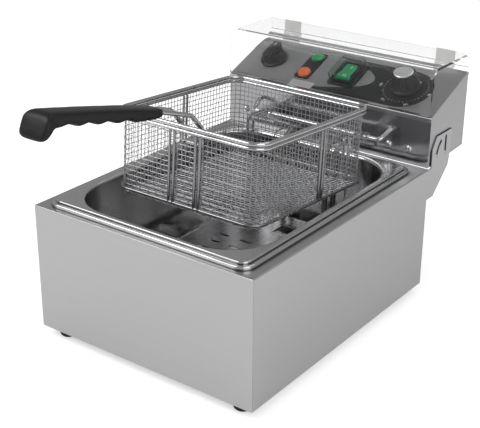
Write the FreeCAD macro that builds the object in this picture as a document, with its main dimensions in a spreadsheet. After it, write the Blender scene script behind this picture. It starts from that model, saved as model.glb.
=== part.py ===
import FreeCAD, Part
import math
import os
import re
import Sketcher

# A countertop electric deep fryer with one tank, in millimetres.
# X runs across, the operator stands on the -Y side, Z is up and Z = 0 is under the feet.
# The casing carries the tank. The control head hangs between two brackets behind the casing
# and tips its front upwards, which lifts the heating element out of the tank.
# The wire basket is parked on the bar at the front of the head.

V = FreeCAD.Vector
X_AXIS, Y_AXIS, Z_AXIS = V(1, 0, 0), V(0, 1, 0), V(0, 0, 1)

SIZES = [
    ("casing_width", 290, "casing, across"),
    ("casing_depth", 347, "casing, front to rear"),
    ("casing_height", 148, "casing, without its feet"),
    ("casing_y", 15.755, "casing centre behind the middle of the whole length"),
    ("sheet_thick", 1.0, "stainless sheet of casing, tank and head"),
    ("fold_round", 1.6, "outside radius of a folded sheet"),
    ("seam_gap", 0.2, "open seam between two sheets"),
    ("rear_flange", 14, "flange of the rear sheet inside the wrapper"),
    ("foot_height", 11, "rubber foot, floor to casing"),
    ("foot_radius", 11, "rubber foot"),
    ("foot_inset_x", 23, "foot centre from the casing's side"),
    ("foot_inset_front", 17, "foot centre from the casing's front"),
    ("foot_inset_rear", 31, "foot centre from the casing's rear"),
    ("screw_radius", 2.0, "M4 screw shank"),
    ("screw_gap", 0.15, "play round a screw, on the radius"),
    ("tank_width", 238, "tank mouth, across"),
    ("tank_length", 300, "tank mouth, front to rear"),
    ("tank_depth", 128, "tank, top of rim to floor"),
    ("tank_corner", 55, "tank mouth corner radius"),
    ("tank_draft", 2.6, "slope of the tank's walls, degrees"),
    ("tank_floor_round", 16, "tank wall to tank floor radius"),
    ("tank_shift", -4.5, "tank centre from the casing centre"),
    ("tank_mouth_round", 4, "rolled edge of the tank's mouth"),
    ("rim_side", 13.5, "tank rim beside the mouth"),
    ("rim_end", 12.5, "tank rim at the mouth's front and rear"),
    ("rim_height", 7, "tank rim above the casing"),
    ("rim_step", 2.6, "outer ledge below the top of the rim"),
    ("rim_ledge", 5, "width of the outer ledge"),
    ("rim_corner", 15, "tank rim corner radius"),
    ("rim_gap", 0.3, "tank rim lip above the casing"),
    ("opening_gap", 3, "tank body to the casing's opening"),
    ("bracket_thick", 1.4, "hinge bracket plate"),
    ("bracket_gap", 0.3, "hinge bracket to the head's side"),
    ("bracket_drop", 38.7, "bracket below the casing's top"),
    ("bracket_rise", 36, "bracket above the casing's top"),
    ("slot_width", 4.4, "slots in the hinge bracket"),
    ("pin_gap", 0.08, "pin in its slot, on the radius"),
    ("pivot_back", 38.5, "pivot pin behind the casing's rear"),
    ("pivot_rise", 10, "pivot pin above the casing's top"),
    ("guide_reach", 21.3, "guide pin from the pivot pin"),
    ("guide_angle", 176, "guide pin round the pivot at rest, degrees from the rear"),
    ("head_tilt", 50, "travel of the head, degrees"),
    ("lift_slot", 20, "travel in the upright slot"),
    ("head_depth", 87.5, "head, front plate to back cover"),
    ("head_front_rise", 62, "foot of the sloping panel above the casing"),
    ("head_foot_gap", 1, "head above the casing at the front"),
    ("head_foot_rise", 4, "fall of the head's underside towards the front"),
    ("panel_slope", 21.4, "slope of the control panel, degrees"),
    ("panel_lip", 5.4, "panel folded down over front and back"),
    ("film_thick", 0.3, "printed film on the panel"),
    ("film_end", 35, "radius of the film's round end"),
    ("film_up", 41.5, "middle of the film up the slope"),
    ("timer_x", -102.5, "timer across the panel"),
    ("timer_up", 44, "timer up the slope"),
    ("lamp_x", -47.8, "lamps across the panel"),
    ("lamp_low", 30, "amber lamp up the slope"),
    ("lamp_high", 62.5, "green lamp up the slope"),
    ("switch_x", 8, "switch across the panel"),
    ("switch_up", 44, "switch up the slope"),
    ("thermostat_x", 86.5, "thermostat across the panel"),
    ("thermostat_up", 45, "thermostat up the slope"),
    ("shaft_radius", 3, "control shafts"),
    ("shaft_gap", 0.3, "play round a control shaft, on the radius"),
    ("knob_lift", 0.8, "knob above the film"),
    ("timer_radius", 17.5, "timer knob skirt"),
    ("thermostat_radius", 16, "thermostat knob"),
    ("thermostat_tall", 21, "thermostat knob above the panel"),
    ("lens_radius", 8.5, "lamp lens"),
    ("boot_width", 36, "switch boot, across"),
    ("boot_length", 47, "switch boot, up the slope"),
    ("boot_tall", 15, "switch boot above the panel"),
    ("frame_tall", 3, "switch frame round the boot"),
    ("rim_tall", 6, "switch body's rim inside the boot"),
    ("boot_wall", 1.2, "switch boot wall"),
    ("rocker_width", 20, "switch rocker, across"),
    ("rocker_length", 32, "switch rocker, up the slope"),
    ("rocker_swing", 14, "travel of the rocker, degrees"),
    ("trunnion_radius", 1.6, "the rocker turns on two stubs"),
    ("gland_bore", 3.6, "radius of the cable way through the gland"),
    ("gland_x", -95, "cable gland across the back"),
    ("gland_rise", 26, "cable gland above the casing"),
    ("reset_x", 70, "reset button across the back"),
    ("reset_rise", 40, "reset button above the casing"),
    ("reset_radius", 3, "reset button"),
    ("reset_travel", 2, "travel of the reset button"),
    ("bar_radius", 2.5, "hanging bar for the basket"),
    ("bar_reach", 22, "hanging bar in front of the head"),
    ("bar_rise", 30.5, "hanging bar above the casing"),
    ("bar_drop", 8.8, "hanging bar below its ends"),
    ("bar_span", 180, "hanging bar between its bends"),
    ("tube_radius", 3.5, "heating element tube"),
    ("tube_rise", 18, "element tube centre above the tank's floor"),
    ("tube_pass", 16.5, "element tube above the casing where it enters the head"),
    ("tube_gap", 0.2, "play round a tube in a plate, on the radius"),
    ("riser_gap", 12.5, "riser centre to the tank's mouth"),
    ("riser_x", 30, "risers from the middle"),
    ("loop_inner", 22, "inner legs of the element from the middle"),
    ("loop_outer", 66, "outer legs of the element from the middle"),
    ("loop_front", -95, "front of the element's loops from the casing centre"),
    ("loop_rear", 108, "rear of the element's loops from the casing centre"),
    ("bulb_radius", 3.2, "sensing bulb"),
    ("bulb_length", 90, "sensing bulb"),
    ("capillary_radius", 0.9, "capillary tube"),
    ("guard_width", 166, "element guard, across"),
    ("guard_front", -112, "element guard's front edge from the casing centre"),
    ("guard_rear", 124, "element guard's rear edge from the casing centre"),
    ("guard_rise", 35, "top of the element guard above the tank's floor"),
    ("guard_skirt", 10, "sides of the guard, folded down"),
    ("vent_length", 17, "slot in the guard"),
    ("vent_width", 3.6, "slot in the guard"),
    ("vent_pitch_x", 32, "slot spacing across"),
    ("vent_pitch_y", 20, "slot spacing front to rear"),
    ("cover_thick", 3, "clear splash cover"),
    ("cover_width", 284, "clear splash cover, across"),
    ("cover_rise", 118.5, "top of the splash cover above the casing"),
    ("cover_bend", 16, "outside radius of the cover's front bend"),
    ("cover_gap", 0.6, "foot of the splash cover above the panel"),
    ("cover_hang", 0.8, "foot of the cover's rear drop above the hinge knuckles"),
    ("hinge_x", 110, "cover hinges from the middle"),
    ("hinge_width", 25, "cover hinge leaf"),
    ("knuckle_radius", 2, "cover hinge knuckle"),
    ("leaf_thick", 1.2, "cover hinge leaf"),
    ("basket_width", 195, "basket, across the rim"),
    ("basket_length", 218, "basket, front to rear over the rim"),
    ("basket_height", 95, "basket, top of rim to floor"),
    ("basket_corner", 20, "basket corner radius"),
    ("basket_tilt", 4.3, "front of the parked basket raised, degrees"),
    ("basket_back", 51.9, "rear of the rim in front of the head"),
    ("basket_rise", 83.3, "rear of the rim above the casing"),
    ("rim_wire", 2.4, "radius of the basket's rim wire"),
    ("rib_wire", 1.5, "radius of the basket's ribs"),
    ("mesh_thick", 1.4, "woven wire of the basket, over both wires"),
    ("hook_gap", 0.3, "basket hook above the bar"),
    ("hook_x", 68, "basket hooks from the middle"),
    ("hook_drop", 9, "tail of the hook behind the bar"),
    ("grip_width", 26, "handle grip, across"),
    ("butt_width", 34, "butt of the grip, across"),
    ("handle_wire", 2.5, "radius of the handle's wires"),
    ("handle_x", 13, "handle wires from the middle"),
]

# Places that many pieces share, as formulas on the sheet's names.
HALF_W = "casing_width / 2"
HALF_D = "casing_depth / 2"
TOP = "(foot_height + casing_height)"
HEAD_HALF = "(casing_width / 2 - bracket_thick - bracket_gap)"
PANEL_RUN = "((head_depth + 2 * sheet_thick) / cos(panel_slope))"
TANK_FLOOR = "(foot_height + casing_height + rim_height - tank_depth)"
FACE = "(film_thick + knob_lift)"

doc = FreeCAD.newDocument("deep_fryer")
sheet = doc.addObject("Spreadsheet::Sheet", "Size")
for row, (alias, value, meaning) in enumerate(SIZES, 1):
    sheet.set(f"A{row}", meaning)
    sheet.set(f"B{row}", str(value))
    sheet.setAlias(f"B{row}", alias)
doc.recompute()

nodes = []


def formula(text):
    """The text with each of the sheet's names written as FreeCAD's expressions want it."""
    return re.sub(r"[a-z]+_[a-z_]+", lambda name: "Size." + name.group(), str(text))


def number(name):
    """The value of one of the sheet's names."""
    return float(getattr(sheet, name))


def bind(thing, **formulas):
    for prop, text in formulas.items():
        thing.setExpression(prop, formula(text))


def place(thing, x=0, y=0, z=0, turn=0, axis=X_AXIS):
    """Sets a piece down at x, y, z from the casing centre and the floor, turned about an axis."""
    thing.Placement = FreeCAD.Placement(V(), FreeCAD.Rotation(axis, 1))
    for letter, text in (("x", x), ("y", f"casing_y + {y}"), ("z", z)):
        thing.setExpression("Placement.Base." + letter, formula(text))
    thing.setExpression("Placement.Rotation.Angle", formula(turn))


def keep(thing, name):
    """Makes a finished object a node of the model, named by its label."""
    thing.Label = name
    nodes.append(thing)
    return thing


def on_panel(thing, x=0, up=0, lift=0):
    """Sets a piece on the sloping panel: x across, up the slope, lift off its face."""
    y = f"{HALF_D} - sheet_thick + ({up}) * cos(panel_slope) - ({lift}) * sin(panel_slope)"
    z = f"{TOP} + head_front_rise + ({up}) * sin(panel_slope) + ({lift}) * cos(panel_slope)"
    place(thing, x, y, z, "panel_slope")


# ---------------------------------------------------------------- sketches and features


def new_body(name):
    return doc.addObject("PartDesign::Body", name)


def new_sketch(body, plane, offset=0):
    sketch = body.newObject("Sketcher::SketchObject", body.Name + "_sketch")
    origin = [part for part in body.Origin.OriginFeatures if part.Role == plane][0]
    sketch.AttachmentSupport = [(origin, "")]
    sketch.MapMode = "FlatFace"
    sketch.setExpression("AttachmentOffset.Base.z", formula(offset))
    return sketch


def fix(sketch, kind, *where, to):
    """Adds a dimension to a sketch and binds it to a formula."""
    index = sketch.addConstraint(Sketcher.Constraint(kind, *where, value(to)))
    sketch.setExpression(f"Constraints[{index}]", formula(to))


def pin_point(sketch, geometry, end, point):
    fix(sketch, "DistanceX", -1, 1, geometry, end, to=point[0])
    fix(sketch, "DistanceY", -1, 1, geometry, end, to=point[1])


def add_outline(sketch, points):
    """Adds a closed outline with straight sides."""
    first, count = sketch.GeometryCount, len(points)
    angles = [2 * math.pi * i / count for i in range(count)]
    ring = [V(math.cos(angle), math.sin(angle), 0) for angle in angles]
    for i in range(count):
        sketch.addGeometry(Part.LineSegment(ring[i], ring[(i + 1) % count]), False)
    for i in range(count):
        after = first + (i + 1) % count
        sketch.addConstraint(Sketcher.Constraint("Coincident", first + i, 2, after, 1))
        pin_point(sketch, first + i, 1, points[i])


def add_circle(sketch, x, y, radius):
    index = sketch.addGeometry(Part.Circle(V(), Z_AXIS, 1), False)
    pin_point(sketch, index, 3, (x, y))
    fix(sketch, "Radius", index, to=radius)


def add_round_rectangle(sketch, width, length, corner, x=0, y=0):
    """Adds a rectangle with rounded corners about the point x, y."""
    lines, arcs = [], []
    middle = V(value(x), value(y), 0)
    half_x, half_y, bend = value(width) / 2, value(length) / 2, value(corner)
    near_x, near_y = half_x - bend, half_y - bend
    ends = [(-near_x, -half_y), (near_x, -half_y), (half_x, -near_y), (half_x, near_y)]
    ends += [(near_x, half_y), (-near_x, half_y), (-half_x, near_y), (-half_x, -near_y)]
    centres = [(near_x, -near_y), (near_x, near_y), (-near_x, near_y), (-near_x, -near_y)]
    for i in range(4):
        a, b = middle + V(*ends[2 * i], 0), middle + V(*ends[2 * i + 1], 0)
        lines.append(sketch.addGeometry(Part.LineSegment(a, b), False))
        circle = Part.Circle(middle + V(*centres[i], 0), Z_AXIS, bend)
        turn = math.pi / 2 * (i - 1)
        arcs.append(sketch.addGeometry(Part.ArcOfCircle(circle, turn, turn + math.pi / 2), False))
    for i in range(4):
        sketch.addConstraint(Sketcher.Constraint("Tangent", lines[i], 2, arcs[i], 1))
        sketch.addConstraint(Sketcher.Constraint("Tangent", arcs[i], 2, lines[(i + 1) % 4], 1))
        sketch.addConstraint(Sketcher.Constraint("Vertical" if i % 2 else "Horizontal", lines[i]))
        if i:
            sketch.addConstraint(Sketcher.Constraint("Equal", arcs[0], arcs[i]))
    fix(sketch, "Radius", arcs[0], to=corner)
    fix(sketch, "DistanceY", -1, 1, lines[0], 1, to=f"{y} - ({length}) / 2")
    fix(sketch, "DistanceX", -1, 1, lines[1], 1, to=f"{x} + ({width}) / 2")
    fix(sketch, "DistanceY", -1, 1, lines[2], 1, to=f"{y} + ({length}) / 2")
    fix(sketch, "DistanceX", -1, 1, lines[3], 1, to=f"{x} - ({width}) / 2")


def feature(body, kind, sketch, length, **settings):
    made = body.newObject("PartDesign::" + kind, f"{body.Name}_{kind.lower()}")
    made.Profile = sketch
    bind(made, Length=length)
    for name, value in settings.items():
        setattr(made, name, value)
    doc.recompute()
    return made


def slab(body, plane, start, length, fill, cut=False):
    """Adds, or cuts, a prism along the plane's axis from start over a length.

    fill is a function that draws the profile in the sketch that it is given.
    """
    away = f"-({start}) - ({length})" if plane == "XZ_Plane" else start
    sketch = new_sketch(body, plane, away)
    fill(sketch)
    if cut:
        return feature(body, "Pocket", sketch, length, Reversed=True)
    return feature(body, "Pad", sketch, length)


def repeated(body, cut, axis, count, spacing):
    """Repeats a cut along an axis of its sketch, as the body's last step."""
    made = body.newObject("PartDesign::LinearPattern", f"{body.Name}_pattern")
    made.Originals = [cut]
    made.Direction = (cut.Profile[0], [axis])
    made.Mode = 1
    made.Occurrences = count
    bind(made, Offset=spacing)
    body.Tip = made
    doc.recompute()


def outlined(points):
    return lambda sketch: add_outline(sketch, points)


def circles(places, radius):
    def fill(sketch):
        for x, y in places:
            add_circle(sketch, x, y, radius)

    return fill


def rounded(width, length, corner, x=0, y=0):
    return lambda sketch: add_round_rectangle(sketch, width, length, corner, x, y)


def rectangle(x0, x1, y0, y1):
    return outlined([(x0, y0), (x1, y0), (x1, y1), (x0, y1)])


def turned(name, points):
    """A body turned about its Z axis from an outline of (radius, height) points."""
    body = new_body(name)
    sketch = new_sketch(body, "XZ_Plane")
    add_outline(sketch, points)
    made = body.newObject("PartDesign::Revolution", name + "_turned")
    made.Profile = sketch
    made.ReferenceAxis = (sketch, ["V_Axis"])
    made.Angle = 360
    doc.recompute()
    return body


def round_edges(body, radius, choose, kind="Fillet"):
    """Rounds, or chamfers, the edges of a body that choose picks."""
    doc.recompute()
    base = body.Tip
    names = [f"Edge{i}" for i, edge in enumerate(base.Shape.Edges, 1) if choose(edge)]
    if not names:
        raise ValueError(f"{body.Name}: no edge to round")
    made = body.newObject("PartDesign::" + kind, f"{body.Name}_{kind.lower()}")
    made.Base = (base, names)
    bind(made, **{"Radius" if kind == "Fillet" else "Size": radius})
    doc.recompute()
    return made


def hollow_out(body, hollow):
    """Takes another body away from a body."""
    made = body.newObject("PartDesign::Boolean", f"{body.Name}_emptied")
    made.Type = 1
    made.setObjects([hollow])
    doc.recompute()
    return made


def near(a, b):
    return abs(a - b) < 1e-4


def along(edge, axis):
    """Whether an edge is straight and runs along an axis."""
    if len(edge.Vertexes) != 2 or not isinstance(edge.Curve, Part.Line):
        return False
    run = (edge.Vertexes[1].Point - edge.Vertexes[0].Point).normalize()
    return abs(abs(run.dot(axis)) - 1) < 1e-6


def level(edge, height):
    """Whether every point of an edge is at one height."""
    box = edge.BoundBox
    return near(box.ZMin, height) and near(box.ZMax, height)


def value(text):
    """The number that a formula comes to, read back from a bound property."""
    probe.setExpression("X", formula(text))
    probe.recompute()
    return float(probe.X)


probe = doc.addObject("Part::Vertex", "probe")


# ---------------------------------------------------------------- rods, copies and plain solids


def bent_path(points, bends, closed=False):
    """Straight runs through the points, joined by tangent arcs of the given radii."""
    points = [V(*point) for point in points]
    count = len(points)
    corners = range(count) if closed else range(1, count - 1)
    if not hasattr(bends, "__len__"):
        bends = [bends] * len(corners)
    starts, ends, edges = {}, {}, []
    for bend, i in zip(bends, corners):
        before = (points[i - 1] - points[i]).normalize()
        after = (points[(i + 1) % count] - points[i]).normalize()
        half = before.getAngle(after) / 2
        back = bend / math.tan(half)
        starts[i], ends[i] = points[i] + before * back, points[i] + after * back
        middle = points[i] + (before + after).normalize() * (bend / math.sin(half) - bend)
        edges.append((i, Part.Arc(starts[i], middle, ends[i]).toShape()))
    path = []
    arcs = dict(edges)
    for i in range(count if closed else count - 1):
        j = (i + 1) % count
        a, b = ends.get(i, points[i]), starts.get(j, points[j])
        if (b - a).Length > 1e-6:
            path.append(Part.LineSegment(a, b).toShape())
        if j in arcs:
            path.append(arcs[j])
    return Part.Wire(path)


def rod_shape(points, radius, bends, closed=False):
    """A round rod that follows a bent path."""
    path = bent_path(points, bends, closed)
    start = path.OrderedVertexes[0].Point
    ahead = path.OrderedEdges[0].tangentAt(path.OrderedEdges[0].FirstParameter)
    if (path.OrderedEdges[0].valueAt(path.OrderedEdges[0].FirstParameter) - start).Length > 1e-6:
        ahead = path.OrderedEdges[0].tangentAt(path.OrderedEdges[0].LastParameter)
    ring = Part.Wire([Part.makeCircle(radius, start, ahead)])
    return path.makePipeShell([ring], True, False)


def solid_of(shape):
    """The solid in a swept shape, facing outwards."""
    if shape.ShapeType == "Compound" and len(shape.Solids) == 1:
        shape = shape.Solids[0]
    if shape.ShapeType in ("Shell", "Compound"):
        shape = Part.Solid(shape.Shells[0])
    if shape.Volume < 0:
        shape.reverse()
    return shape


def made_of(name, shapes, turn=0, origin=(0, 0, 0)):
    """A node whose shape is set directly: one solid, or several separate ones as a group."""
    node = doc.addObject("Part::Feature", name)
    node.Shape = shapes[0] if len(shapes) == 1 else Part.makeCompound(shapes)
    place(node, origin[0], origin[1], origin[2], turn)
    return keep(node, name)


def rods(name, paths, radius, **where):
    """A node of one or more bent rods. Each path is (points, bend radii, closed)."""
    solids = [solid_of(rod_shape(points, radius, bends, closed)) for points, bends, closed in paths]
    return made_of(name, solids, **where)


def copies(name, master, places, turn=0, axis=X_AXIS):
    """A node of identical separate solids, one at each place from the casing centre."""
    doc.recompute()
    shapes = []
    for point in places:
        shape = master.Shape.copy()
        shape.Placement = FreeCAD.Placement(V(*point), FreeCAD.Rotation(axis, turn))
        shapes.append(shape)
    return made_of(name, shapes)


def block(name, size, corner):
    """A plain box with formulas for its size and for its lowest corner."""
    box = doc.addObject("Part::Box", name)
    bind(box, Length=size[0], Width=size[1], Height=size[2])
    for letter, text in zip("xyz", corner):
        box.setExpression("Placement.Base." + letter, formula(text))
    return box


def bar_solid(name, radius, length, start, axis=Z_AXIS):
    """A plain cylinder from a start point along an axis."""
    rod = doc.addObject("Part::Cylinder", name)
    rod.Placement = FreeCAD.Placement(V(), FreeCAD.Rotation(Z_AXIS, axis))
    bind(rod, Radius=radius, Height=length)
    for letter, text in zip("xyz", start):
        rod.setExpression("Placement.Base." + letter, formula(text))
    return rod


def joined(name, parts, kind="MultiFuse"):
    made = doc.addObject("Part::" + kind, name)
    made.Shapes = parts
    return made


def less(name, base, tools):
    made = doc.addObject("Part::Cut", name)
    made.Base = base
    made.Tool = tools[0] if len(tools) == 1 else joined(name + "_tools", tools)
    return made


# ---------------------------------------------------------------- casing


def casing():
    """The folded wrapper, its front and rear sheets and its floor tray."""
    shell = new_body("casing_shell")
    side, inner = HALF_W, f"{HALF_W} - sheet_thick"
    wrap = [(f"-({side})", "foot_height"), (f"-({side})", TOP), (side, TOP), (side, "foot_height")]
    wrap += [(inner, "foot_height"), (inner, f"{TOP} - sheet_thick")]
    wrap += [(f"-({inner})", f"{TOP} - sheet_thick"), (f"-({inner})", "foot_height")]
    front = f"-({HALF_D}) + sheet_thick + seam_gap"
    slab(shell, "XZ_Plane", front, "casing_depth - sheet_thick - seam_gap", outlined(wrap))
    top = value(TOP)
    round_edges(shell, "fold_round", lambda edge: along(edge, Y_AXIS) and level(edge, top))
    mouth = rounded(
        "tank_width + 2 * opening_gap",
        "tank_length + 2 * opening_gap",
        "tank_corner + opening_gap",
        y="tank_shift",
    )
    slab(shell, "XY_Plane", f"{TOP} - 2 * sheet_thick", "3 * sheet_thick", mouth, cut=True)
    place(keep(shell, "casing_shell"))

    front_panel = new_body("front_panel")
    face = rectangle(f"-({HALF_W})", HALF_W, "foot_height", TOP)
    slab(front_panel, "XZ_Plane", f"-({HALF_D})", "sheet_thick", face)
    outer = -value(HALF_D)
    round_edges(
        front_panel,
        "sheet_thick * 0.7",
        lambda edge: near(edge.BoundBox.YMin, outer) and near(edge.BoundBox.YMax, outer),
    )
    place(keep(front_panel, "front_panel"))

    rear_panel = new_body("rear_panel")
    wide, deep = f"({HALF_W} - sheet_thick - seam_gap)", HALF_D
    end, skin = f"{deep} - rear_flange", f"{deep} - sheet_thick"
    tray = [(f"-{wide}", deep), (f"-{wide}", end)]
    tray += [(f"-{wide} + sheet_thick", end), (f"-{wide} + sheet_thick", skin)]
    tray += [(f"{wide} - sheet_thick", skin), (f"{wide} - sheet_thick", end)]
    tray += [(wide, end), (wide, deep)]
    tall = "casing_height - sheet_thick - 2 * seam_gap"
    slab(rear_panel, "XY_Plane", "foot_height + seam_gap", tall, outlined(tray))
    slab(
        rear_panel,
        "XZ_Plane",
        f"{HALF_D} - 2 * sheet_thick",
        "3 * sheet_thick",
        circles(rivet_places(), "screw_radius"),
        cut=True,
    )
    place(keep(rear_panel, "rear_panel"))

    floor = new_body("base_plate")
    inside = f"2 * ({HALF_W} - 2 * sheet_thick - 2 * seam_gap)"
    run = "casing_depth - 3 * sheet_thick - 16"
    slab(floor, "XY_Plane", "foot_height", 12, rounded(inside, run, 4, y="-6"))
    hollow = rounded(f"{inside} - 2 * sheet_thick", f"{run} - 2 * sheet_thick", 3, y="-6")
    slab(floor, "XY_Plane", "foot_height + sheet_thick", 12, hollow, cut=True)
    holes = circles(foot_places(), "screw_radius + screw_gap")
    slab(floor, "XY_Plane", "foot_height - sheet_thick", "3 * sheet_thick", holes, cut=True)

    louvre = rounded(60, 5, 2.4, y="-62")
    cut = slab(floor, "XY_Plane", "foot_height - sheet_thick", "3 * sheet_thick", louvre, cut=True)
    repeated(floor, cut, "V_Axis", 7, 14)
    place(keep(floor, "base_plate"))


def foot_places():
    """Feet under the casing as formulas: x, y from the casing centre."""
    x = f"({HALF_W} - foot_inset_x)"
    front, rear = f"-({HALF_D}) + foot_inset_front", f"{HALF_D} - foot_inset_rear"
    return [(f"-{x}", front), (x, front), (f"-{x}", rear), (x, rear)]


def rivet_places():
    """Rivets through bracket flange and rear sheet as formulas: x and height."""
    spots = []
    for side in (-1, 1):
        for drop in (12, 30):
            spots.append((f"{side} * ({HALF_W} - 14)", f"{TOP} - {drop}"))
    return spots


def feet():
    """Four rubber feet, each held by a screw from below."""
    names = ("foot_front_left", "foot_front_right", "foot_rear_left", "foot_rear_right")
    bore = "screw_radius + screw_gap"
    for name, (x, y) in zip(names, foot_places()):
        foot = turned(
            name,
            [
                (bore, "foot_height"),
                ("foot_radius", "foot_height"),
                ("foot_radius", "foot_height - 3"),
                ("foot_radius - 1.5", 1.2),
                ("foot_radius - 2.7", 0),
                (5, 0),
                (5, 5.5),
                (bore, 5.5),
            ],
        )
        place(keep(foot, name), x, y)
    head = [(0, 2.6), (4, 2.6), (4, 5.5), ("screw_radius", 5.5)]
    head += [("screw_radius", "foot_height + sheet_thick + 6"), (0, "foot_height + sheet_thick + 6")]
    screw = turned("foot_screw", head)
    spots = [(value(x), value(y), 0) for x, y in foot_places()]
    copies("foot_screws", screw, spots)


# ---------------------------------------------------------------- tank


def loft(body, start, end, skin):
    """Adds the tank's tapered hollow, grown by a skin, between two heights over the casing."""
    rings = []
    for height in (start, end):
        sketch = new_sketch(body, "XY_Plane", f"{TOP} + {height}")
        inset = f"((rim_height - ({height})) * tan(tank_draft) - ({skin}))"
        size = (f"tank_width - 2 * {inset}", f"tank_length - 2 * {inset}", f"tank_corner - {inset}")
        add_round_rectangle(sketch, *size, y="tank_shift")
        rings.append(sketch)
    made = body.newObject("PartDesign::AdditiveLoft", f"{body.Name}_loft")
    made.Profile = rings[0]
    made.Sections = [rings[1]]
    made.Ruled = True
    doc.recompute()
    return made


def tank():
    """The drawn oil tank, which hangs by its rim on the casing."""
    pan = new_body("tank")
    centre = "tank_shift"
    lip = f"{TOP} + rim_gap"
    ledge = f"{TOP} + rim_height - rim_step"
    outer_w, outer_l = "(tank_width + 2 * rim_side)", "(tank_length + 2 * rim_end)"
    slab(pan, "XY_Plane", lip, f"{ledge} - ({lip})", rounded(outer_w, outer_l, "rim_corner", y=centre))
    ledge_z = value(ledge)
    round_edges(pan, 1.8, lambda edge: level(edge, ledge_z))
    inset_w, inset_l = f"{outer_w} - 2 * rim_ledge", f"{outer_l} - 2 * rim_ledge"
    slab(pan, "XY_Plane", ledge, "rim_step", rounded(inset_w, inset_l, "rim_corner - rim_ledge", y=centre))
    rim_z = value(f"{TOP} + rim_height")
    round_edges(pan, 1.3, lambda edge: level(edge, rim_z))
    under = rounded(f"{outer_w} - 2.4", f"{outer_l} - 2.4", "rim_corner - 1.2", y=centre)
    depth = "rim_height - rim_step - rim_gap - 1.2"
    slab(pan, "XY_Plane", lip, depth, under, cut=True)
    skin = "sheet_thick"
    loft(pan, "rim_height - 1", f"rim_height - tank_depth - {skin}", skin)
    floor_z = value(f"{TANK_FLOOR} - {skin}")
    round_edges(pan, f"tank_floor_round + {skin}", lambda edge: level(edge, floor_z))
    hollow = new_body("tank_hollow")
    loft(hollow, "rim_height", "rim_height - tank_depth", "0")
    inner_z = value(TANK_FLOOR)
    round_edges(hollow, "tank_floor_round", lambda edge: level(edge, inner_z))
    hollow_out(pan, hollow)
    reach = value(f"{inset_w}") / 2 - 2
    round_edges(
        pan, "tank_mouth_round", lambda edge: level(edge, rim_z) and edge.BoundBox.XMax < reach - 1
    )
    place(keep(pan, "tank"))


# ---------------------------------------------------------------- hinge brackets


def pivot():
    """The head's pivot as formulas: y from the casing centre, and height."""
    return f"({HALF_D} + pivot_back)", f"({TOP} + pivot_rise)"


def guide(turn=0):
    """The guide pin as formulas, with the head tipped by a turn in degrees."""
    y, z = pivot()
    angle = f"(guide_angle - {turn})"
    return f"({y} + guide_reach * cos({angle}))", f"({z} + guide_reach * sin({angle}))"


def brackets():
    """The two plates behind the casing that carry the head's pins in slots."""
    rear = HALF_D
    y, z = pivot()
    back = f"{y} + 14"
    for side, name in ((-1, "hinge_bracket_left"), (1, "hinge_bracket_right")):
        body = new_body(name)
        ear = [
            (rear, f"{TOP} - bracket_drop"),
            (rear, f"{TOP} - 0.8"),
            (f"{rear} + 6.2", f"{TOP} - 0.8"),
            (f"{rear} + 6.2", f"{TOP} + 22"),
            (f"{rear} + 16", f"{TOP} + bracket_rise"),
            (back, f"{TOP} + bracket_rise"),
            (f"{back} - 1", f"{TOP} + 6"),
            (f"{back} - 3.7", f"{TOP} - 8.7"),
            (f"{rear} + 15.4", f"{TOP} - bracket_drop"),
        ]
        start = f"{HALF_W} - bracket_thick" if side > 0 else f"-({HALF_W})"
        slab(body, "YZ_Plane", start, "bracket_thick", outlined(ear))
        inner = f"{side} * ({HALF_W} - 27)"
        outer = f"{side} * ({HALF_W} - bracket_thick / 2)"
        flange = [(inner, f"{TOP} - bracket_drop"), (outer, f"{TOP} - bracket_drop")]
        flange += [(outer, f"{TOP} - 0.8"), (inner, f"{TOP} - 0.8")]
        slab(body, "XZ_Plane", rear, "bracket_thick", outlined(flange))
        spots = [spot for spot in rivet_places() if spot[0].startswith(f"{side} ")]
        slab(
            body,
            "XZ_Plane",
            f"{rear} - 1",
            "bracket_thick + 2",
            circles(spots, "screw_radius"),
            cut=True,
        )
        through = (start, "bracket_thick")

        middle = f"{z} + lift_slot / 2"
        corner = "slot_width / 2 - 0.001"
        upright = rounded("slot_width", "slot_width + lift_slot", corner, y, middle)
        slab(body, "YZ_Plane", *through, upright, cut=True)
        slab(body, "YZ_Plane", *through, curved_slot, cut=True)
        place(keep(body, name))
    rivet = turned(
        "bracket_rivet",
        [
            (0, "-sheet_thick - 1.5"),
            (3.4, "-sheet_thick - 1.5"),
            (3.4, "-sheet_thick"),
            ("screw_radius - 0.05", "-sheet_thick"),
            ("screw_radius - 0.05", "bracket_thick"),
            (3.6, "bracket_thick"),
            (2.6, "bracket_thick + 1.3"),
            (0, "bracket_thick + 1.7"),
        ],
    )
    spots = [(value(x), value(rear), value(height)) for x, height in rivet_places()]
    copies("bracket_rivets", rivet, spots, turn=-90)


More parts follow.
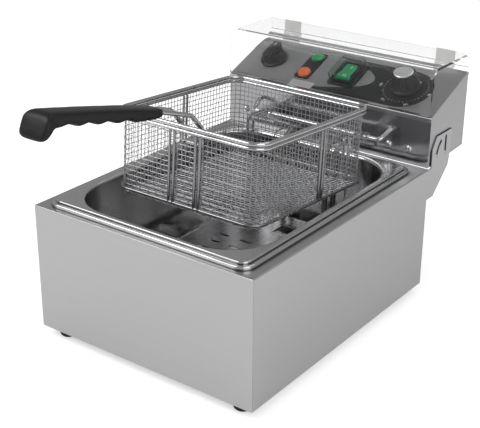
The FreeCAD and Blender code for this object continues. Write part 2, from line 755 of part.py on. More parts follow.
def curved_slot(sketch):
    """Draws the slot about the pivot that limits the head's travel."""
    y, z = (value(text) for text in pivot())
    reach, half = number("guide_reach"), number("slot_width") / 2
    low, high = number("guide_angle") - number("head_tilt"), number("guide_angle")
    middle = V(y, z, 0)

    def arc(centre, radius, start, end):
        circle = Part.Circle(centre, Z_AXIS, radius)
        return Part.ArcOfCircle(circle, math.radians(start), math.radians(end))

    def end_centre(angle):
        return middle + V(math.cos(math.radians(angle)), math.sin(math.radians(angle)), 0) * reach

    outer = sketch.addGeometry(arc(middle, reach + half, low, high), False)
    inner = sketch.addGeometry(arc(middle, reach - half, low, high), False)
    top = sketch.addGeometry(arc(end_centre(low), half, low + 180, low + 360), False)
    foot = sketch.addGeometry(arc(end_centre(high), half, high, high + 180), False)
    for side, ends in ((outer, (2, 1)), (inner, (1, 2))):
        sketch.addConstraint(Sketcher.Constraint("Tangent", side, 1, top, ends[0]))
        sketch.addConstraint(Sketcher.Constraint("Tangent", side, 2, foot, ends[1]))
    sketch.addConstraint(Sketcher.Constraint("Coincident", outer, 3, inner, 3))
    pin_point(sketch, outer, 3, pivot())
    fix(sketch, "Radius", outer, to="guide_reach + slot_width / 2")
    pin_point(sketch, foot, 3, guide())
    fix(sketch, "DistanceX", -1, 1, top, 3, to=guide("head_tilt")[0])


# ---------------------------------------------------------------- control head, sheets


def head_foot(back):
    """Height of the head's underside at a distance behind the head's front, as a formula."""
    return f"({TOP} + head_foot_gap + head_foot_rise * ({back}) / head_depth)"


def head_roof(back):
    """Height of the underside of the panel at a distance behind the head's front."""
    rise = f"(({back}) + sheet_thick) * tan(panel_slope) - sheet_thick / cos(panel_slope)"
    return f"({TOP} + head_front_rise + {rise})"


def front_holes():
    """What passes through the head's front plate: (places, radius) pairs."""
    ends = [(f"{side} * (bar_span / 2 + 4)", bar_end_height()) for side in (-1, 1)]
    screws = [(f"{side} * {x}", f"{TOP} + 19.8") for side in (-1, 1) for x in (90.6, 117.6)]
    tubes = [(f"{side} * riser_x", f"{TOP} + tube_pass") for side in (-1, 1)]
    thin = [(f"{side} * (loop_inner + loop_outer) / 2", f"{TOP} + tube_pass") for side in (-1, 1)]
    return [
        (ends, "bar_radius + tube_gap"),
        (screws, "screw_radius + screw_gap"),
        (tubes, "tube_radius + tube_gap"),
        (thin, "capillary_radius + tube_gap"),
    ]


def bar_end_height():
    return f"{TOP} + bar_rise + bar_drop"


def head_sheets():
    """The folded sheets of the control head."""
    front = new_body("head_front_plate")
    y0, y1 = HALF_D, f"{HALF_D} + head_depth"
    back = f"{HALF_D} + head_depth - sheet_thick"
    fold = [
        (y0, head_foot(0)),
        (y0, f"{head_roof(0)} - seam_gap"),
        (f"{y0} + sheet_thick", f"{head_roof(0)} - seam_gap"),
        (f"{y0} + sheet_thick", f"{head_foot('sheet_thick')} + sheet_thick"),
        (back, f"{head_foot('head_depth - sheet_thick')} + sheet_thick"),
        (back, head_foot("head_depth - sheet_thick")),
    ]
    slab(front, "YZ_Plane", f"-{HEAD_HALF}", f"2 * {HEAD_HALF}", outlined(fold))
    for places, radius in front_holes():
        slab(front, "XZ_Plane", f"{y0} - 1", "sheet_thick + 2", circles(places, radius), cut=True)
    place(keep(front, "head_front_plate"))

    foot0 = f"{head_foot('sheet_thick')} + sheet_thick + seam_gap"
    foot1 = f"{head_foot('head_depth - sheet_thick')} + sheet_thick + seam_gap"
    gap = "(sheet_thick + seam_gap)"
    for side, name in ((-1, "head_side_left"), (1, "head_side_right")):
        body = new_body(name)
        start = f"{HEAD_HALF} - sheet_thick" if side > 0 else f"-{HEAD_HALF}"
        a, b = f"{y0} + {gap}", f"{y1} - {gap}"
        plate = [
            (a, foot0),
            (a, f"{head_roof(gap)} - seam_gap"),
            (b, f"{head_roof('head_depth - sheet_thick - seam_gap')} - seam_gap"),
            (b, foot1),
        ]
        slab(body, "YZ_Plane", start, "sheet_thick", outlined(plate))
        inner = f"{side} * ({HEAD_HALF} - 11)"
        outer = f"{side} * ({HEAD_HALF} - sheet_thick / 2)"
        ends = ((a, foot0, head_roof(gap)), (f"{b} - sheet_thick", foot1, head_roof("head_depth - 4")))
        for at, low, high in ends:
            flange = rectangle(inner, outer, f"{low} + 1", f"{high} - 2")
            slab(body, "XZ_Plane", at, "sheet_thick", flange)
        pins = circles([pivot(), guide()], "slot_width / 2 + 0.05")
        slab(body, "YZ_Plane", start, "sheet_thick", pins, cut=True)
        slit = rectangle(f"{y0} + 3.4", f"{y0} + 6.2", f"{foot0} - 2", f"{TOP} + 21")
        slab(body, "YZ_Plane", start, "sheet_thick", slit, cut=True)
        taps = [spot for spot in back_screw_places() if spot[0].startswith(f"{side} ")]
        slab(body, "XZ_Plane", f"{b} - 3", 4, circles(taps, 1.5), cut=True)
        place(keep(body, name))

    cover = new_body("head_back_cover")
    low = head_foot("head_depth - sheet_thick")
    high = f"{head_roof('head_depth - sheet_thick')} - seam_gap"
    plate = rectangle(f"-{HEAD_HALF}", HEAD_HALF, low, high)
    slab(cover, "XZ_Plane", f"{y1} - sheet_thick", "sheet_thick", plate)
    cuts = [
        (back_screw_places(), 1.6),
        ([("gland_x", f"{TOP} + gland_rise")], 6),
        ([("reset_x", f"{TOP} + reset_rise")], "reset_radius + 0.3"),
    ]
    for places, radius in cuts:
        slab(cover, "XZ_Plane", f"{y1} - 2", 4, circles(places, radius), cut=True)

    vent = rounded(3, 26, 1.4, "-36", f"{TOP} + 62")
    repeated(cover, slab(cover, "XZ_Plane", f"{y1} - 2", 4, vent, cut=True), "H_Axis", 9, 9)
    place(keep(cover, "head_back_cover"))


def back_screw_places():
    x = f"({HEAD_HALF} - 6)"
    return [(f"{side} * {x}", f"{TOP} + {rise}") for side in (-1, 1) for rise in (14, 76)]


def head_screws():
    """Screws of the back cover, and domed nuts on the head's front."""
    pan = turned("back_screw", [(0, 0), (1.5, 0), (1.5, 5), (3.2, 5), (2.6, 6.6), (0, 7.2)])
    rear = value(f"{HALF_D} + head_depth") - 5
    spots = [(value(x), rear, value(z)) for x, z in back_screw_places()]
    copies("back_screws", pan, spots, turn=-90)
    nut = turned(
        "front_nut",
        [
            (0, -7),
            ("screw_radius", -7),
            ("screw_radius", 0),
            (4.4, 0),
            (4.4, 0.8),
            (3.8, 2.0),
            (2.6, 3.0),
            (1.2, 3.4),
            (0, 3.5),
        ],
    )
    places = front_holes()[1][0]
    spots = [(value(x), value(HALF_D), value(z)) for x, z in places]
    copies("front_nuts", nut, spots, turn=90)


def panel():
    """The sloping panel with its lips, the printed film and the blank label."""
    body = new_body("head_panel")
    lip_y, lip_z = "panel_lip * sin(panel_slope)", "panel_lip * cos(panel_slope)"
    run, thin = PANEL_RUN, "sheet_thick"
    points = [
        (f"-{lip_y}", f"-{lip_z}"),
        (0, 0),
        (run, 0),
        (f"{run} - {lip_y}", f"-{lip_z}"),
        (f"{run} - {lip_y} - {thin} * cos(panel_slope)", f"-{lip_z} + {thin} * sin(panel_slope)"),
        (f"{run} - {thin} * (1 + sin(panel_slope)) / cos(panel_slope)", f"-{thin}"),
        (f"{thin} * (1 - sin(panel_slope)) / cos(panel_slope)", f"-{thin}"),
        (f"-{lip_y} + {thin} * cos(panel_slope)", f"-{lip_z} - {thin} * sin(panel_slope)"),
    ]
    slab(body, "YZ_Plane", f"-{HEAD_HALF}", f"2 * {HEAD_HALF}", outlined(points))
    round_edges(body, "fold_round", lambda edge: along(edge, X_AXIS) and level(edge, 0))
    for fill in panel_holes():
        slab(body, "XY_Plane", "-3 * sheet_thick", "4 * sheet_thick", fill, cut=True)
    on_panel(keep(body, "head_panel"))

    film = new_body("panel_film")
    left = f"-{HEAD_HALF} + 1.5"
    strip = rectangle(left, "thermostat_x", "film_up - film_end", "film_up + film_end")
    slab(film, "XY_Plane", 0, "film_thick", strip)
    left_x = value(left)
    round_edges(film, 8, lambda edge: along(edge, Z_AXIS) and near(edge.BoundBox.XMax, left_x))
    end = circles([("thermostat_x", "film_up")], "film_end - 0.01")
    slab(film, "XY_Plane", 0, "film_thick", end)
    for fill in panel_holes():
        slab(film, "XY_Plane", "-film_thick", "3 * film_thick", fill, cut=True)
    on_panel(keep(film, "panel_film"))

    label = new_body("blank_label")
    slab(label, "XY_Plane", 0, 0.25, rounded(32, 12, 0.8))
    on_panel(keep(label, "blank_label"), -40, 10.2, "film_thick")


def panel_holes():
    """Drawings of the holes through the panel and its film."""
    return [
        circles(
            [("timer_x", "timer_up"), ("thermostat_x", "thermostat_up")],
            "shaft_radius + shaft_gap + 0.3",
        ),
        circles([("lamp_x", "lamp_low"), ("lamp_x", "lamp_high")], 6),
        rounded(24, 38, 1, x="switch_x", y="switch_up"),
    ]


# ---------------------------------------------------------------- controls


def controls():
    """Knobs, lamps and the switch on the panel."""
    skirt = turned(
        "timer_knob",
        [
            ("shaft_radius + 0.05", 0),
            ("timer_radius", 0),
            ("timer_radius", 2.4),
            ("timer_radius - 2", 4.2),
            (10.5, 5),
            (10.5, 12),
            ("shaft_radius + 0.05", 12),
        ],
    )
    slab(skirt, "XY_Plane", 3, 15, rounded(11, 31, 2.5))
    slab(skirt, "XY_Plane", -1, 13, circles([(0, 0)], "shaft_radius + 0.05"), cut=True)
    top = 18
    round_edges(skirt, 1.6, lambda edge: level(edge, top))
    on_panel(keep(skirt, "timer_knob"), "timer_x", "timer_up", FACE)
    shaft = turned("timer_shaft", [(0, -14), ("shaft_radius", -14), ("shaft_radius", 11), (0, 11)])
    on_panel(keep(shaft, "timer_shaft"), "timer_x", "timer_up", FACE)

    radius, tall = "thermostat_radius", "thermostat_tall"
    knob = turned(
        "thermostat_knob",
        [
            ("shaft_radius + 0.05", 0),
            (f"{radius} + 3", 0),
            (f"{radius} + 3", 1.5),
            (f"{radius} + 0.6", 3),
            (f"{radius} - 1.2", f"{tall} - 1"),
            (f"{radius} - 2.2", tall),
            (f"{radius} - 4", tall),
            (f"{radius} - 4", f"{tall} - 1.2"),
            ("shaft_radius + 0.05", f"{tall} - 1.2"),
        ],
    )
    on_panel(keep(knob, "thermostat_knob"), "thermostat_x", "thermostat_up", FACE)
    cap = turned(
        "thermostat_cap",
        [
            (0, f"{tall} - 1.15"),
            (f"{radius} - 4.05", f"{tall} - 1.15"),
            (f"{radius} - 4.05", tall),
            (f"{radius} - 5", f"{tall} + 0.6"),
            (0, f"{tall} + 0.6"),
        ],
    )
    on_panel(keep(cap, "thermostat_cap"), "thermostat_x", "thermostat_up", FACE)
    shaft = turned(
        "thermostat_shaft",
        [(0, -14), ("shaft_radius", -14), ("shaft_radius", f"{tall} - 1.2"), (0, f"{tall} - 1.2")],
    )
    on_panel(keep(shaft, "thermostat_shaft"), "thermostat_x", "thermostat_up", FACE)

    bezel = new_body("lamp_bezel")
    middle = "(lamp_low + lamp_high) / 2"
    slab(bezel, "XY_Plane", 0, 1.4, rounded(21, "lamp_high - lamp_low + 20", 3))
    spots = [(0, f"{name} - {middle}") for name in ("lamp_low", "lamp_high")]
    slab(bezel, "XY_Plane", -1, 4, circles(spots, 5.6), cut=True)
    on_panel(keep(bezel, "lamp_bezel"), "lamp_x", middle, "film_thick")
    for name, up in (("amber_lens", "lamp_low"), ("green_lens", "lamp_high")):
        lens = turned(
            name,
            [
                (0, -6),
                (5.4, -6),
                (5.4, 1.4),
                ("lens_radius", 1.4),
                ("lens_radius", 3.2),
                ("lens_radius - 1.6", 5),
                ("lens_radius - 4.5", 6.3),
                (0, 6.8),
            ],
        )
        on_panel(keep(lens, name), "lamp_x", up, "film_thick")
    housing = new_body("switch_body")
    slab(housing, "XY_Plane", 0, "frame_tall", rounded("boot_width", "boot_length", 3))
    frame_z = number("frame_tall")
    round_edges(housing, 0.8, lambda edge: level(edge, frame_z))
    slab(housing, "XY_Plane", 0, "rim_tall", rounded(27, 39, 2))
    slab(housing, "XY_Plane", -27, 27, rounded(23, 37, 1))
    well = rounded("rocker_width + 0.8", "rocker_length + 0.8", 0.8)
    slab(housing, "XY_Plane", -9, 16, well, cut=True)
    slab(housing, "YZ_Plane", -12, 24, circles([(0, 0)], "trunnion_radius + 0.05"), cut=True)
    on_panel(keep(housing, "switch_body"), "switch_x", "switch_up", "film_thick")

    rocker = new_body("switch_rocker")
    half = "rocker_length / 2"
    side = [
        (f"-{half}", 0.5),
        (f"-{half} + 2", 7.4),
        (0, 4.2),
        (f"{half} - 0.6", 3.8),
        (f"{half} - 0.4", -3.4),
        (2.5, -5),
        (-2.5, -5),
    ]
    slab(rocker, "YZ_Plane", "-rocker_width / 2", "rocker_width", outlined(side))
    trunnion = circles([(0, 0)], "trunnion_radius")
    slab(rocker, "YZ_Plane", "-rocker_width / 2 - 1.1", "rocker_width + 2.2", trunnion)
    on_panel(keep(rocker, "switch_rocker"), "switch_x", "switch_up", "film_thick")

    boot = new_body("switch_boot")
    tall, base = number("boot_tall"), "frame_tall"
    wide, long = "boot_width - 4", "boot_length - 4"
    slab(boot, "XY_Plane", base, f"boot_tall - {base}", rounded(wide, long, 4))
    round_edges(boot, 2.5, lambda edge: level(edge, tall))
    inside = rounded(f"{wide} - 2 * boot_wall", f"{long} - 2 * boot_wall", "4 - boot_wall")
    slab(boot, "XY_Plane", f"{base} - 1", f"boot_tall - boot_wall - {base} + 1", inside, cut=True)
    on_panel(keep(boot, "switch_boot"), "switch_x", "switch_up", "film_thick")


# ---------------------------------------------------------------- inside the head


def head_inside():
    """Timer, thermostat, limiter, terminal block, safety switch and the cable gland."""
    for name, x, up, size, deep in (
        ("timer_movement", "timer_x", "timer_up", 38, 26),
        ("thermostat_body", "thermostat_x", "thermostat_up", 34, 22),
    ):
        body = new_body(name)
        slab(body, "XY_Plane", f"-sheet_thick - {deep}", deep, rounded(size, size, 5))
        slab(body, "XY_Plane", -30, 31, circles([(0, 0)], "shaft_radius + shaft_gap"), cut=True)
        on_panel(keep(body, name), x, up)

    wall = f"({HALF_D} + head_depth - sheet_thick)"
    limiter = new_body("limiter_body")
    at = f"{TOP} + reset_rise"
    slab(limiter, "XZ_Plane", -30, 30, rounded(24, 24, 3))
    slab(limiter, "XZ_Plane", -8, 8, circles([(0, 0)], "reset_radius + 0.1"), cut=True)
    place(keep(limiter, "limiter_body"), "reset_x", wall, at)
    button = turned(
        "reset_button",
        [
            (0, "-6 + reset_travel"),
            ("reset_radius", "-6 + reset_travel"),
            ("reset_radius", "sheet_thick + reset_travel"),
            ("reset_radius - 0.6", "sheet_thick + reset_travel + 0.6"),
            (0, "sheet_thick + reset_travel + 0.8"),
        ],
    )
    place(keep(button, "reset_button"), "reset_x", wall, at, -90)

    terminals = new_body("terminal_block")
    slab(terminals, "XY_Plane", 0, 18, rounded(70, 20, 1.5))
    wells = [(step * 15, side * 5) for step in (-2, -1, 0, 1, 2) for side in (-1, 1)]
    slab(terminals, "XY_Plane", 8, 12, circles(wells, 3), cut=True)
    spot = f"{HALF_D} + head_depth - 30"
    place(keep(terminals, "terminal_block"), -30, spot, f"{head_foot('head_depth - 20')} + sheet_thick + 0.3")

    safety = new_body("safety_switch")
    slab(safety, "YZ_Plane", 0, 10, rounded(28, 16, 1))
    slab(safety, "XY_Plane", -12, 5, rectangle(4, 6, -8, 8))
    place(
        keep(safety, "safety_switch"),
        f"-{HEAD_HALF} + sheet_thick",
        f"{HALF_D} + 62",
        f"{TOP} + 24",
    )

    gland = turned(
        "cable_gland",
        [
            ("gland_bore", -10),
            (5.9, -10),
            (5.9, "sheet_thick"),
            (9, "sheet_thick"),
            (9, "sheet_thick + 4"),
            (7.5, "sheet_thick + 10"),
            (6, "sheet_thick + 13"),
            ("gland_bore", "sheet_thick + 13"),
        ],
    )
    place(keep(gland, "cable_gland"), "gland_x", wall, f"{TOP} + gland_rise", -90)


def pins():
    """Pivot and guide pins, riveted into the head's sides."""
    shank = "slot_width / 2 - pin_gap"
    reach = "sheet_thick + bracket_gap + bracket_thick - 0.2"
    pin = turned("head_pin", [(0, -2.4), (4, -2.4), (4, 0), (shank, 0), (shank, reach), (0, reach)])
    doc.recompute()
    inner = value(f"{HEAD_HALF} - sheet_thick")
    for name, spot in (("pivot_pins", pivot()), ("guide_pins", guide())):
        y, z = (value(text) for text in spot)
        shapes = []
        for side in (-1, 1):
            shape = pin.Shape.copy()
            shape.Placement = FreeCAD.Placement(V(side * inner, y, z), FreeCAD.Rotation(Y_AXIS, 90 * side))
            shapes.append(shape)
        made_of(name, shapes)


# ---------------------------------------------------------------- element and guard


def element():
    """The bar that the basket hangs on, the heating element, its sensors and its guard."""
    plate_y = value(HALF_D)
    inside = value(f"{HALF_D} + sheet_thick") + 1.5
    bar_y, bar_z = plate_y - number("bar_reach"), value(f"{TOP} + bar_rise")
    end_z, half = value(bar_end_height()), number("bar_span") / 2
    ends = half + 4
    corner = [(-half, bar_y, bar_z), (half, bar_y, bar_z)]
    # The ends level out so that they pass square through the plate.
    path = [(-ends, inside, end_z), (-ends, plate_y - 4, end_z), *corner]
    path += [(ends, plate_y - 4, end_z), (ends, inside, end_z)]
    rods("basket_bar", [(path, [3.5, 6, 6, 3.5], False)], number("bar_radius"))

    strip = new_body("element_flange")
    slab(strip, "XZ_Plane", f"{HALF_D} - 3", 3, rounded(146, 10, 2, y=f"{TOP} + tube_pass"))
    for places, radius in front_holes()[2:]:
        slab(strip, "XZ_Plane", f"{HALF_D} - 5", 7, circles(places, radius), cut=True)
    place(keep(strip, "element_flange"))

    radius = number("tube_radius")
    low = value(f"{TANK_FLOOR} + tube_rise")
    high = value(f"{TOP} + tube_pass")
    back = value("tank_shift + tank_length / 2 - riser_gap")
    head = value(HALF_D) + 18
    rise, inner, outer = number("riser_x"), number("loop_inner"), number("loop_outer")
    front, rear = number("loop_front"), number("loop_rear")
    middle = rear - 38
    half_path = [(rise, head, high), (rise, back, high), (rise, back, low), (rise, rear, low)]
    half_path += [(outer, rear, low), (outer, front, low), (inner, front, low), (inner, middle, low)]
    other = [(-x, y, z) for x, y, z in reversed(half_path)]
    tight, wide = 10, (outer - inner) / 2 - 0.1
    bends = [14, tight, tight, 12, wide, wide, inner - 0.1]
    tube = solid_of(rod_shape(half_path + other, radius, bends + bends[::-1]))
    cold = [Part.makeCylinder(1.6, 8, V(side * rise, head, high), Y_AXIS) for side in (-1, 1)]
    made_of("heating_element", [tube.fuse(cold)])

    guard_z = value(f"{TANK_FLOOR} + guard_rise - sheet_thick")
    tie_z = low - radius
    ties = []
    for y in (-60, 62):
        tie = Part.makeBox(154, 12, 1.5, V(-77, y - 6, tie_z - 1.5))
        posts = [Part.makeCylinder(2.5, guard_z - tie_z + 1, V(x, y, tie_z - 1)) for x in (-73.5, 73.5)]
        ties.append(tie.fuse(posts))
    made_of("guard_supports", ties)

    guard = new_body("element_guard")
    top = f"{TANK_FLOOR} + guard_rise"
    edge = "guard_width / 2"
    channel = [
        (f"-{edge}", f"{top} - guard_skirt"),
        (f"-{edge}", top),
        (edge, top),
        (edge, f"{top} - guard_skirt"),
        (f"{edge} - sheet_thick", f"{top} - guard_skirt"),
        (f"{edge} - sheet_thick", f"{top} - sheet_thick"),
        (f"-{edge} + sheet_thick", f"{top} - sheet_thick"),
        (f"-{edge} + sheet_thick", f"{top} - guard_skirt"),
    ]
    slab(guard, "XZ_Plane", "guard_front", "guard_rear - guard_front", outlined(channel))
    top_z = value(top)
    round_edges(guard, "fold_round", lambda line: along(line, Y_AXIS) and level(line, top_z))

    def slots(sketch):
        for column in (-1.5, -0.5, 0.5, 1.5):
            corner = "vent_width / 2 - 0.01"
            x = f"{column} * vent_pitch_x"
            add_round_rectangle(sketch, "vent_length", "vent_width", corner, x, "guard_front + 26")

    row = slab(guard, "XY_Plane", f"{top} - 2 * sheet_thick", "3 * sheet_thick", slots, cut=True)
    repeated(guard, row, "V_Axis", 7, "vent_pitch_y")
    window = rounded(19, 31, 1.5, x="2.5", y="88")
    slab(guard, "XY_Plane", f"{top} - 2 * sheet_thick", "3 * sheet_thick", window, cut=True)
    place(keep(guard, "element_guard"))

    thin = number("capillary_radius")
    lane = (inner + outer) / 2
    over = low + radius + thin + 1.2
    for name, x in (("thermostat_bulb", -lane), ("limiter_bulb", lane)):
        start = 30
        bulb = Part.makeCylinder(number("bulb_radius"), number("bulb_length"), V(x, start, low), -Y_AXIS)
        path = [(x, start - 2, low), (x, start + 18, low), (x, start + 34, over), (x, back - 3, over)]
        path += [(x, back - 3, high), (x, head, high)]
        pipe = solid_of(rod_shape(path, thin, [8, 8, 5, 8]))
        made_of(name, [bulb.fuse(pipe)])


# ---------------------------------------------------------------- splash cover


def hinge_line():
    """The cover's hinge as formulas: y from the casing centre, and height."""
    y = f"({HALF_D} + head_depth + sheet_thick + 2.4)"
    z = f"({TOP} + head_front_rise + (head_depth + 2 * sheet_thick) * tan(panel_slope) + 1.1)"
    return y, z


def cover():
    """The clear cover over the panel and its two hinges."""
    body = new_body("splash_cover")
    y, z = hinge_line()
    front = f"({HALF_D} - sheet_thick - 1.3)"
    back = f"({y} + 0.2)"
    top = f"({TOP} + cover_rise)"
    foot = f"({TOP} + head_front_rise + (1.3 + cover_thick) * tan(panel_slope) + cover_gap)"
    thick = "cover_thick"
    tail = f"({z} + knuckle_radius + cover_hang)"
    profile = [
        (front, foot),
        (front, top),
        (back, top),
        (back, tail),
        (f"{back} - {thick}", tail),
        (f"{back} - {thick}", f"{top} - {thick}"),
        (f"{front} + {thick}", f"{top} - {thick}"),
        (f"{front} + {thick}", foot),
    ]
    slab(body, "YZ_Plane", "-cover_width / 2", "cover_width", outlined(profile))
    front_y, back_y, top_z = value(front), value(back), value(top)
    thickness = number("cover_thick")

    def corner_at(y_at, z_at):
        spot = (y_at, z_at)
        return lambda edge: (
            along(edge, X_AXIS)
            and near(edge.BoundBox.YMin, spot[0])
            and near(edge.BoundBox.ZMin, spot[1])
        )

    round_edges(body, "cover_bend", corner_at(front_y, top_z))
    round_edges(body, "cover_bend - cover_thick", corner_at(front_y + thickness, top_z - thickness))
    round_edges(body, "cover_thick + 1.5", corner_at(back_y, top_z))
    round_edges(body, 1.5, corner_at(back_y - thickness, top_z - thickness))
    place(keep(body, "splash_cover"))

    fixed, moving = [], []
    wide, third = "hinge_width", "(hinge_width / 3)"
    skin = f"({HALF_D} + head_depth + sheet_thick)"
    for side, tag in ((-1, "left"), (1, "right")):
        x0 = f"({side} * hinge_x - hinge_width / 2)"
        low, high = f"{z} - 16", f"{z} - knuckle_radius - 0.3"
        size = (wide, "leaf_thick", f"{high} - ({low})")
        fixed.append(block(f"fixed_leaf_{tag}", size, (x0, skin, low)))
        spot = (x0, back, f"{z} + knuckle_radius + 0.4")
        moving.append(block(f"moving_leaf_{tag}", (wide, "leaf_thick", 14), spot))
        middle = f"{x0} + {third}"
        size = (third, "leaf_thick", "knuckle_radius + 0.6")
        moving.append(block(f"moving_tang_{tag}", size, (middle, back, z)))
        spot = (middle, y, z)
        moving.append(bar_solid(f"moving_barrel_{tag}", "knuckle_radius", third, spot, X_AXIS))
        long = f"({third} - 0.2)"
        for step in (0, 1):
            start = f"{x0} + {step} * (2 * {third} + 0.2)"
            name = f"fixed_barrel_{tag}_{step}"
            fixed.append(bar_solid(name, "knuckle_radius", long, (start, y, z), X_AXIS))
            size = (long, "leaf_thick", "knuckle_radius + 0.5")
            tang = (start, skin, f"{z} - knuckle_radius - 0.5")
            fixed.append(block(f"fixed_tang_{tag}_{step}", size, tang))
    for name, leaves in (("cover_hinge_fixed", fixed), ("cover_hinge_moving", moving)):
        bores = []
        for side in (-1, 1):
            start = (f"{side} * hinge_x - hinge_width / 2 - 1", y, z)
            bores.append(bar_solid("hinge_bore", 1.05, "hinge_width + 2", start, X_AXIS))
        place(keep(less(name, joined(f"{name}_leaves", leaves), bores), name))
    pin = turned("hinge_pin", [(0, 0), (1, 0), (1, "hinge_width"), (0, "hinge_width")])
    doc.recompute()
    ends = [value(f"{side} * hinge_x - hinge_width / 2") for side in (-1, 1)]
    spots = [(end, value(y), value(z)) for end in ends]
    copies("cover_hinge_pins", pin, spots, turn=90, axis=Y_AXIS)


# ---------------------------------------------------------------- basket


def on_basket(node):
    """Sets a basket piece, made with its rim's rear top edge at the origin, on the parked line."""
    place(
        node,
        0,
        f"{HALF_D} - basket_back",
        f"{TOP} + basket_rise",
        "-basket_tilt",
    )


def basket_ring(inset, z, radius):
    """A closed rod round the basket, inset from its outer size, at a height below the rim."""
    half, length = number("basket_width") / 2 - inset, number("basket_length")
    points = [(-half, -inset, z), (half, -inset, z), (half, inset - length, z), (-half, inset - length, z)]
    corner = number("basket_corner") - inset
    return solid_of(rod_shape(points, radius, corner, closed=True))


def basket():
    """The wire basket: rim, woven body, base frame, ribs, floor wires, hooks and handle."""
    rim, rib, mesh = number("rim_wire"), number("rib_wire"), number("mesh_thick")
    length, height = number("basket_length"), number("basket_height")
    shapes = [basket_ring(rim, -rim, rim), basket_ring(rim, -3 * rim - 0.05, rim * 0.8)]
    on_basket(made_of("basket_rim", shapes))

    net = new_body("basket_mesh")
    inset = "2 * rim_wire"
    wide, long = f"(basket_width - 2 * {inset})", f"(basket_length - 2 * {inset})"
    centre = "-basket_length / 2"
    outside = rounded(wide, long, f"basket_corner - {inset}", y=centre)
    slab(net, "XY_Plane", "-basket_height", "basket_height - 2 * rim_wire", outside)
    round_edges(net, 5, lambda edge: level(edge, -height))
    inner_w, inner_l = f"{wide} - 2 * mesh_thick", f"{long} - 2 * mesh_thick"
    inside = rounded(inner_w, inner_l, f"basket_corner - {inset} - mesh_thick", y=centre)
    room = new_body("basket_room")
    slab(room, "XY_Plane", "-basket_height + mesh_thick", "basket_height", inside)
    floor = -height + mesh
    round_edges(room, 3.6, lambda edge: level(edge, floor))
    hollow_out(net, room)
    on_basket(keep(net, "basket_mesh"))

    face = 2 * rim - rib
    top, low = -3.8 * rim - 0.2, -height + 5 + rib
    half = number("basket_width") / 2 - face
    wires = []
    for x in (-20, -14, 14, 20):
        wires.append([(x, face - length, low), (x, face - length, top)])
    for side in (-1, 1):
        for y in (-95, -101):
            wires.append([(side * half, y, low), (side * half, y, top)])
    for x in (-60, -20, 20, 60):
        wires.append([(x, -14, -height - rib), (x, 14 - length, -height - rib)])
    straight = [solid_of(rod_shape(run, rib, 0)) for run in wires]
    frame = basket_ring(face, low, rib).fuse(straight[:8])
    on_basket(made_of("basket_frame", [frame, *straight[8:]]))
    foot = low + rib

    tilt = math.radians(number("basket_tilt"))
    away_y = value("basket_back - bar_reach")
    away_z = value("bar_rise - basket_rise")
    bar_y = away_y * math.cos(tilt) - away_z * math.sin(tilt)
    bar_z = away_y * math.sin(tilt) + away_z * math.cos(tilt)
    over = bar_z + number("bar_radius") + rib + number("hook_gap")
    behind = bar_y + number("bar_radius") + rib + number("hook_gap") + 0.4
    hooks = []
    for side in (-1, 1):
        a, b = side * (number("hook_x") - 3.5), side * (number("hook_x") + 3.5)
        tail = over - number("hook_drop")
        points = [(a, -face, foot), (a, -face, over), (a, behind, over), (a, behind, tail)]
        points += [(b, behind, tail), (b, behind, over), (b, -face, over), (b, -face, foot)]
        hooks.append(solid_of(rod_shape(points, rib, [4, 2.6, 3, 3, 2.6, 4])))
    on_basket(made_of("basket_hooks", hooks))
    handle(length)


def handle(length):
    """The handle's two wires and its moulded grip, on the basket's front."""
    wire, x = number("handle_wire"), number("handle_x")
    inner = 0.6 * x
    # Each wire runs straight through the grip, over the rim and down inside the front wall.
    tail, mouth = (-length - 140.5, 37.5), (-length - 43.5, 23.6)
    wires = []
    for side in (-1, 1):
        points = [
            (side * inner, *tail),
            (side * inner, *mouth),
            (side * x, -length - 22, 18.6),
            (side * x, -length - 4, 13.4),
            (side * x, -length + 14, -4),
            (side * x, -length + 14, -22),
        ]
        wires.append(solid_of(rod_shape(points, wire, [12, 12, 8, 8])))
    bridge = Part.makeCylinder(wire, 2 * x, V(-x, -length + 14, -22), X_AXIS)
    on_basket(made_of("handle_wires", [wires[0].fuse([wires[1], bridge])]))

    grip = new_body("grip_block")
    shape = [
        (-265.5, 20.5),
        (-263.5, 24.5),
        (-266.5, 28.9),
        (-303.5, 36.1),
        (-358.5, 45.5),
        (-407.5, 53.4),
        (-415.5, 54.1),
        (-421, 51),
        (-427.5, 40.5),
        (-423.5, 34.5),
        (-412.5, 38.7),
        (-403.5, 36.9),
        (-391.5, 37.9),
        (-379.5, 33.4),
        (-365.5, 34.2),
        (-353.5, 29.8),
        (-340.5, 30.4),
        (-327.5, 25.7),
        (-314.5, 26.3),
        (-299.5, 21.1),
        (-273.5, 18.7),
    ]
    slab(grip, "YZ_Plane", "-grip_width / 2", "grip_width", outlined(shape))
    half = number("grip_width") / 2

    def on_side(edge):
        box = edge.BoundBox
        return box.XLength < 1e-3 and near(abs(box.XMin), half)

    round_edges(grip, 2.4, on_side)
    butt = [
        (-407.5, 53.4),
        (-415.5, 54.1),
        (-421, 51),
        (-429.5, 38.5),
        (-430.8, 33),
        (-427.5, 28.7),
        (-422.5, 28.9),
        (-413.5, 37.5),
    ]
    slab(grip, "YZ_Plane", "-butt_width / 2", "butt_width", outlined(butt))
    half = number("butt_width") / 2
    round_edges(grip, 3, on_side)
    run = V(0, tail[0] - mouth[0], tail[1] - mouth[1])
    bores = []
    for side in (-1, 1):
        start = (side * inner, *mouth)
        bores.append(bar_solid("grip_bore", "handle_wire + 0.02", run.Length, start, run))
    on_basket(keep(less("handle_grip", grip, bores), "handle_grip"))


# ---------------------------------------------------------------- build, check and write


